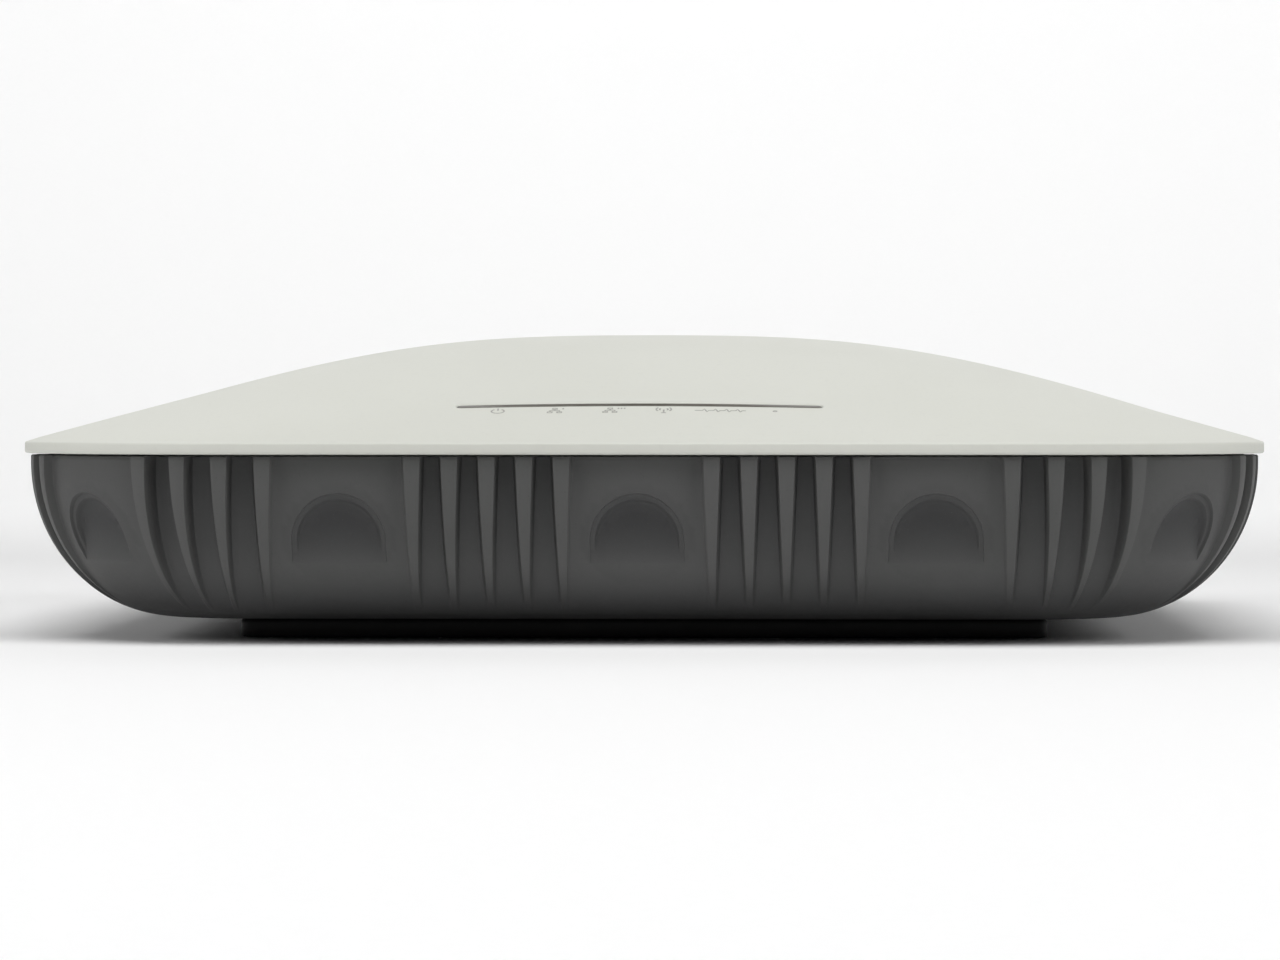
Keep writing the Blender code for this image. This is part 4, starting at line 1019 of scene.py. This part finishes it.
def mark_recess_shade(casting):
    """Writes each point's painted shade for the casting's finish: it grows with the depth behind the crests,
    and more in a pocket.
    """
    middles = [
        Vector(outline_point(place, 0.003, quarter, POCKET_CENTRE))
        for quarter in range(4)
        for place in pocket_places()
    ]
    shade_values = []
    for vertex in casting.data.vertices:
        x, y, z = vertex.co
        beyond_x, beyond_y = abs(x) - BODY_FLAT, abs(y) - BODY_FLAT
        reach = hypot(beyond_x, beyond_y) if min(beyond_x, beyond_y) > 0 else max(beyond_x, beyond_y)
        depth = BODY_CORNER - reach - wall_inset(z - BODY_BOTTOM)
        in_pocket = min((vertex.co - middle).length for middle in middles) < POCKET_REACH
        full_shade = PAINTED_SHADE_IN_POCKET if in_pocket else PAINTED_SHADE_IN_CHANNEL
        # Painted shade, deeper behind the crests and stronger in a pocket
        shade_values.append(full_shade * min(1.0, max(0.0, depth / FIN_HEIGHT)))
    layer = casting.data.attributes.new("recess", "FLOAT", "POINT")
    layer.data.foreach_set("value", shade_values)


def make_casting():
    casting = make_wall()

    def cut(other, operation="DIFFERENCE"):
        carve(casting, other, operation, "MANIFOLD")

    cut(make_cavity())
    for quarter in range(4):
        for index, place in enumerate(pocket_places()):
            cut(make_pocket(f"pocket_{quarter}_{index}", place, quarter))

    buried, chip_top = FLOOR_TOP - 0.0012, BOARD_UNDERSIDE - 0.0036
    posts = at_corners(SCREW_PLACE, 0.0052, buried, 0.0336)
    posts += at_corners(BOARD_SCREW_PLACE, 0.0036, buried, BOARD_UNDERSIDE)
    posts += at_corners(STUD_PLACE, 0.0045, buried, 0.0108)
    blocks = [
        ((x - wide / 2, y - deep / 2, buried), (x + wide / 2, y + deep / 2, chip_top))
        for (x, y), (wide, deep) in PEDESTALS
    ]
    cut(solids("casting_posts", posts, blocks), "UNION")
    below = BODY_BOTTOM - BEYOND
    holes = at_corners(SCREW_PLACE, 0.0031, below, 0.0180) + at_corners(SCREW_PLACE, SCREW_BORE, below, 0.0350)
    holes += at_corners(BOARD_SCREW_PLACE, SCREW_BORE, 0.0143, 0.0220)
    for hole in holes:
        cut(solids("hole", [hole]))
    cut(solids("stud_holes", at_corners(STUD_PLACE, 0.0020, below, 0.0090)))
    opening = ((-0.0313, -0.0143, below), (0.0313, 0.0303, FLOOR_TOP + 0.001))
    cut(solids("bay_opening", (), [opening]))
    smooth(casting, 30)
    mark_recess_shade(casting)
    place_piece(casting, COATING, ["heatsink_base"])


# ---- plate, studs and screws
PAD_PLACE = 0.0620
KEYHOLE_WIDE, KEYHOLE_NARROW = 0.0046, 0.0026
KEYHOLE_RUN = 0.010


def make_mount_plate():
    low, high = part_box("mount_plate")
    plate = start_block("ceiling_plate_pan", low, high)
    round_edges(plate, running(2), 0.0040, 8)
    round_edges(plate, lying_at(2, high.z), 0.0009, 4)
    draw_out(plate, facing((0, 0, -1)), 0.0015, (0, 0, 0.0023))
    carve(plate, solids("pads", at_corners(PAD_PLACE, 0.0080, 0.0, 0.0029), facets=40), "UNION")
    below, above = -BEYOND, high.z + BEYOND
    holes = at_corners(PAD_PLACE, 0.0023, below, above)
    for x, y in corner_places(STUD_PLACE):
        holes.append((KEYHOLE_WIDE, (x, y + KEYHOLE_RUN, below), (x, y + KEYHOLE_RUN, above)))
    carve(plate, solids("plate_holes", holes, facets=32))
    for x, y in corner_places(STUD_PLACE):
        carve(plate, solids("slot_end", [(KEYHOLE_NARROW, (x, y, below), (x, y, above))], facets=32))
        near, far = (x - KEYHOLE_NARROW, y, below), (x + KEYHOLE_NARROW, y + 0.95 * KEYHOLE_RUN, above)
        carve(plate, start_block("slot", near, far))
    hole = start_block("cable_hole", (-0.0320, -0.0260, below), (0.0320, 0.0320, above))
    round_edges(hole, running(2), 0.0040, 8)
    carve(plate, hole)
    soften(plate, 0.00018, 2, 40)
    smooth(plate)
    place_piece(plate, PLATE_COAT, ["mount_plate"], "ceiling_plate")


def make_studs():
    low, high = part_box("mount_stud_1")
    head_top, plate_top = low.z + 0.0011, 0.0036
    stud = start_rod("stud", 0.0040, (0, 0, low.z), (0, 0, head_top), 40)
    for margin, level, next_level in ((0.0017, head_top, plate_top), (0.0006, plate_top, high.z)):
        draw_out(stud, facing((0, 0, 1), level), margin, (0, 0, next_level - level))
    carve(stud, start_rod("hex", 0.0014, (0, 0, low.z - 0.001), (0, 0, low.z + 0.0007), 6))
    soften(stud, 0.00012)
    smooth(stud)
    for index, (x, y) in enumerate(corner_places(STUD_PLACE), 1):
        copied = copy_piece(stud, f"keyhole_stud_{index}", Matrix.Translation((x, y, 0)))
        place_piece(copied, STEEL, [f"mount_stud_{index}"])
    bpy.data.objects.remove(stud)


SCREW_HEAD, SCREW_HEAD_DEPTH = 0.0028, 0.0018
SCREW_CORE, THREAD_DEPTH, THREAD_STEP = 0.00135, 0.00018, 0.00025
SCREW_NECK, SCREW_POINT = 0.0006, 0.0012
CROSS_LONG, CROSS_WIDE, CROSS_DEPTH = 0.0015, 0.0003, 0.0011


def make_screw(name, length):
    """A pan-head screw that stands on its head, with a cross recess and a few thread turns."""
    screw = start_rod(name, SCREW_HEAD, (0, 0, 0), (0, 0, SCREW_HEAD_DEPTH), 32)
    round_edges(screw, lying_at(2, 0), 0.0009, 4)
    draw_out(screw, facing((0, 0, 1), SCREW_HEAD_DEPTH), SCREW_HEAD - SCREW_CORE, (0, 0, SCREW_NECK))
    level = SCREW_HEAD_DEPTH + SCREW_NECK
    root = (SCREW_CORE - THREAD_DEPTH) / SCREW_CORE
    for _ in range(int((length - SCREW_HEAD_DEPTH - SCREW_POINT) / (2 * THREAD_STEP))):
        for scale in (root, SCREW_CORE / (SCREW_CORE - THREAD_DEPTH)):
            draw_out(screw, facing((0, 0, 1), level), 0, (0, 0, THREAD_STEP), (scale, scale, 1))
            level += THREAD_STEP
    draw_out(screw, facing((0, 0, 1), level), 0, (0, 0, length - level), (0.8, 0.8, 1))
    for long, wide in ((CROSS_LONG, CROSS_WIDE), (CROSS_WIDE, CROSS_LONG)):
        carve(screw, start_block("cross", (-long, -wide, -0.001), (long, wide, CROSS_DEPTH)))
    smooth(screw)
    return screw


def make_screws():
    low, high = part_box("cover_screw_1")
    cover_screw = make_screw("long_screw", high.z - low.z)
    board_low, board_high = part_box("board_screw_1")
    board_screw = make_screw("short_screw", board_high.z - board_low.z)
    for index, (sx, sy) in enumerate(CORNERS, 1):
        place = Matrix.Translation((sx * SCREW_PLACE, sy * SCREW_PLACE, low.z))
        screw = copy_piece(cover_screw, f"cross_screw_{index}", place)
        place_piece(screw, STEEL, [f"cover_screw_{index}"])
        spot = (sx * BOARD_SCREW_PLACE, sy * BOARD_SCREW_PLACE, board_high.z)
        head_up = Matrix.Translation(spot) @ Matrix.Rotation(pi, 4, "X")
        screw = copy_piece(board_screw, f"board_cross_screw_{index}", head_up)
        place_piece(screw, STEEL, [f"board_screw_{index}"])
    bpy.data.objects.remove(cover_screw)
    bpy.data.objects.remove(board_screw)


# ---- cable bay and sockets
BAY_FRONT, BAY_REAR, BAY_HALF, BAY_WALL = -0.0140, 0.0300, 0.0310, 0.0015
WINDOW_GAP = 0.0004
SOCKET_ROOF = 0.0016
PIN_PITCH = 0.00102
FACE_CUT = 0.001  # how far a cutter starts in front of a face


def make_bay():
    low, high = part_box("port_bay")
    bay = start_block("cable_bay", (-BAY_HALF, BAY_FRONT, low.z), (BAY_HALF, BAY_REAR, high.z))
    round_edges(bay, running(2), 0.0008, 3)
    flange = start_block("flange", (low.x, low.y, 0.0067), (high.x, BAY_REAR - BAY_WALL / 2, 0.0079))
    carve(bay, flange, "UNION")
    inner, roof = BAY_HALF - BAY_WALL, high.z - BAY_WALL
    near, far = (-inner, BAY_FRONT + BAY_WALL, low.z - FACE_CUT), (inner, BAY_REAR - BAY_WALL, roof)
    hollow = start_block("hollow", near, far)
    round_edges(hollow, lambda edge: running(2)(edge) or lying_at(2, roof)(edge), 0.0008, 3)
    carve(bay, hollow)
    windows = []
    for name in ("lan_jack_1", "lan_jack_2", "power_jack"):
        near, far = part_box(name)
        windows.append((
            (near.x - WINDOW_GAP, BAY_REAR - BAY_WALL - FACE_CUT, near.z - WINDOW_GAP),
            (far.x + WINDOW_GAP, BAY_REAR + FACE_CUT, far.z + WINDOW_GAP),
        ))
    carve(bay, solids("windows", (), windows))
    key_low, key_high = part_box("reset_button")
    x, z = (key_low.x + key_high.x) / 2, (key_low.z + key_high.z) / 2
    carve(bay, start_rod("key_hole", 0.0016, (x, BAY_REAR - 2 * BAY_WALL, z), (x, BAY_REAR + FACE_CUT, z)))
    soften(bay, 0.00015, 2, 50)
    smooth(bay)
    place_piece(bay, BAY, ["port_bay"])


def make_lan_jack(index):
    """A shielded socket with a plastic liner and eight sprung contacts."""
    node = f"lan_jack_{index}"
    low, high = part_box(node)
    x, top = (low.x + high.x) / 2, high.z - SOCKET_ROOF

    def block(name, half, start, end, foot, head):
        """A block on the socket's middle line, by depths behind its face and drops below its roof."""
        return start_block(name, (x - half, low.y + start, top - foot), (x + half, low.y + end, top - head))

    shell = start_block(f"network_socket_{index}", low, high)
    round_edges(shell, running(1), 0.0006, 3)
    carve(shell, block("mouth", 0.0059, -FACE_CUT, 0.0120, 0.0082, 0))
    carve(shell, block("latch", 0.0020, -FACE_CUT, 0.0120, 0.0104, 0.0081))
    soften(shell, 0.00012, 2, 50)
    smooth(shell)
    place_piece(shell, JACK, [node])

    liner = block(f"socket_liner_{index}", 0.0058, 0.0006, 0.0119, 0.0081, 0.0001)
    carve(liner, block("hollow", 0.0053, 0, 0.0112, 0.0076, 0.0009))
    carve(liner, block("notch", 0.0019, 0, 0.0112, 0.0090, 0.0070))
    soften(liner, 0.00008, 1, 50)
    place_piece(liner, BAY)

    wire = start_block("wire", (-0.00018, 0.0, -0.00012), (0.00018, 0.0075, 0.00012))
    draw_out(wire, facing((0, 1, 0)), 0, (0, 0.0008, 0.0005))
    soften(wire, 0.00005, 1)
    shape = bmesh.new()
    for pin in range(8):
        spot = Matrix.Translation((x + (pin - 3.5) * PIN_PITCH, low.y + 0.0022, top - 0.0030))
        copied = wire.data.copy()
        copied.transform(spot @ Matrix.Rotation(radians(14), 4, "X"))
        shape.from_mesh(copied)
        bpy.data.meshes.remove(copied)
    bpy.data.objects.remove(wire)
    place_piece(piece_of(f"socket_contacts_{index}", shape), GOLD)


def make_power_jack():
    low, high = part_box("power_jack")
    x, z = (low.x + high.x) / 2, (low.z + high.z) / 2
    jack = start_block("direct_current_inlet", low, high)
    round_edges(jack, running(1), 0.0009, 3)
    carve(jack, start_rod("bore", 0.0028, (x, low.y - FACE_CUT, z), (x, low.y + 0.0095, z), 40))
    tip = low.y + 0.0010
    pin = start_rod("pin", 0.0008, (x, tip, z), (x, low.y + 0.0100, z), 20)
    round_edges(pin, lying_at(1, tip), 0.0003, 3)
    carve(jack, pin, "UNION")
    soften(jack, 0.00015, 2, 50)
    smooth(jack)
    place_piece(jack, BAY, ["power_jack"])


def make_reset_button():
    low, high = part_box("reset_button")
    x, z = (low.x + high.x) / 2, (low.z + high.z) / 2
    collar = high.y - 0.0010
    button = start_rod("reset_key_cap", 0.0021, (x, collar, z), (x, high.y, z), 32)
    draw_out(button, facing((0, -1, 0)), 0.0008, (0, low.y - collar, 0))
    draw_out(button, facing((0, -1, 0), -low.y), 0.0003, (0, 0.00012, 0), (0.8, 1, 0.8))
    soften(button, 0.00012)
    smooth(button)
    place_piece(button, KEY, ["reset_button"], "reset_key")


# ---- what keeps its CAD shape
# What a node's name holds, and its finish
INSIDE = {
    "light_guide": CLEAR, "led_board": BOARD, "main_board": BOARD, "scan_antenna": BOARD,
    "beacon_antenna": BOARD, "reflector_plate": SHEET, "_shield": SHEET, "bulk_capacitor": SHEET,
    "dual_band_antenna": BRASS, "patch_antenna": BRASS, "antenna_cable": JACKET, "thermal_pad": THERMAL,
    "reset_switch": RESIN, "_chip": RESIN, "_transformer": RESIN, "power_inductor": RESIN,
}


def dress_inside():
    for name, node in frame["nodes"].items():
        for part, finish in INSIDE.items():
            if part in name and not node.hide_render:
                for slot in node.material_slots:
                    slot.material = finish


# ---- studio
SWEEP_NEAR, SWEEP_FAR, SWEEP_WIDTH, SWEEP_TOP = -3.0, 2.2, 4.0, 3.0
SWEEP_RADIUS, SWEEP_STEPS = 0.8, 10
WORLD_STRENGTH = 0.04


def make_studio():
    paper = Finish("studio_paper", specular_ior_level=0.1)
    fibre = paper.noise(0.002, 4, 0.6)
    paper.set(base_color=paper.blend(fibre, (0.89, 0.89, 0.89), (0.91, 0.91, 0.91)), roughness=0.9)
    level, start = cad_low.z - 0.0002, SWEEP_FAR - SWEEP_RADIUS
    profile = [(SWEEP_NEAR, level)]
    for step in range(SWEEP_STEPS + 1):
        turn = pi / 2 * step / SWEEP_STEPS
        profile.append((start + SWEEP_RADIUS * sin(turn), level + SWEEP_RADIUS * (1 - cos(turn))))
    profile.append((SWEEP_FAR, SWEEP_TOP))
    points = [(x, y, z) for y, z in profile for x in (-SWEEP_WIDTH, SWEEP_WIDTH)]
    faces = [(2 * k, 2 * k + 1, 2 * k + 3, 2 * k + 2) for k in range(len(profile) - 1)]
    backdrop = piece_from("studio_sweep", points, faces)
    backdrop.data.materials.append(paper.material)
    backdrop.data.shade_smooth()

    world = bpy.data.worlds.new("studio_world")
    bpy.context.scene.world = world
    world.use_nodes = True
    glow = world.node_tree.nodes["Background"]
    glow.inputs["Color"].default_value = (1, 1, 1, 1)
    glow.inputs["Strength"].default_value = WORLD_STRENGTH

    def softbox(name, place, size, power, target=(0, 0, 0.02)):
        light = bpy.data.lights.new(name, "AREA")
        light.shape, light.size, light.size_y = "RECTANGLE", *size
        light.energy = power
        lamp = bpy.data.objects.new(name, light)
        lamp.location = place
        lamp.rotation_euler = (Vector(target) - lamp.location).to_track_quat("-Z", "Y").to_euler()
        show(lamp)

    softbox("overhead_softbox", (0.0, -0.65, 1.8), (1.6, 1.0), 24)
    softbox("front_softbox", (0.0, -1.3, 1.6), (1.6, 0.9), 5)
    softbox("left_softbox", (-1.8, -0.7, 0.9), (1.0, 1.0), 13.3)
    softbox("right_softbox", (1.8, -0.7, 0.9), (1.0, 1.0), 13.3)
    softbox("backdrop_softbox", (0.0, 0.6, 1.5), (2.6, 0.8), 27, (0.0, 2.2, 1.3))


CAMERA_PLACE = (0.0264, -1.002, 0.0426)
CAMERA_DIP, CAMERA_TURN = radians(0.83), radians(1.66)


def make_camera():
    lens = bpy.data.cameras.new("studio_camera")
    lens.lens, lens.sensor_width, lens.sensor_fit = 140.8, 36, "HORIZONTAL"
    lens.clip_start, lens.clip_end = 0.05, 50
    camera = bpy.data.objects.new("studio_camera", lens)
    camera.location = CAMERA_PLACE
    camera.rotation_euler = (pi / 2 - CAMERA_DIP, 0, CAMERA_TURN)
    bpy.context.scene.camera = show(camera)


make_camera()
make_studio()
make_cover()
make_lens()
make_marks()
make_casting()
make_mount_plate()
make_studs()
make_screws()
make_bay()
for socket in (1, 2):
    make_lan_jack(socket)
make_power_jack()
make_reset_button()
dress_inside()
bpy.context.scene.view_settings.view_transform = "Standard"
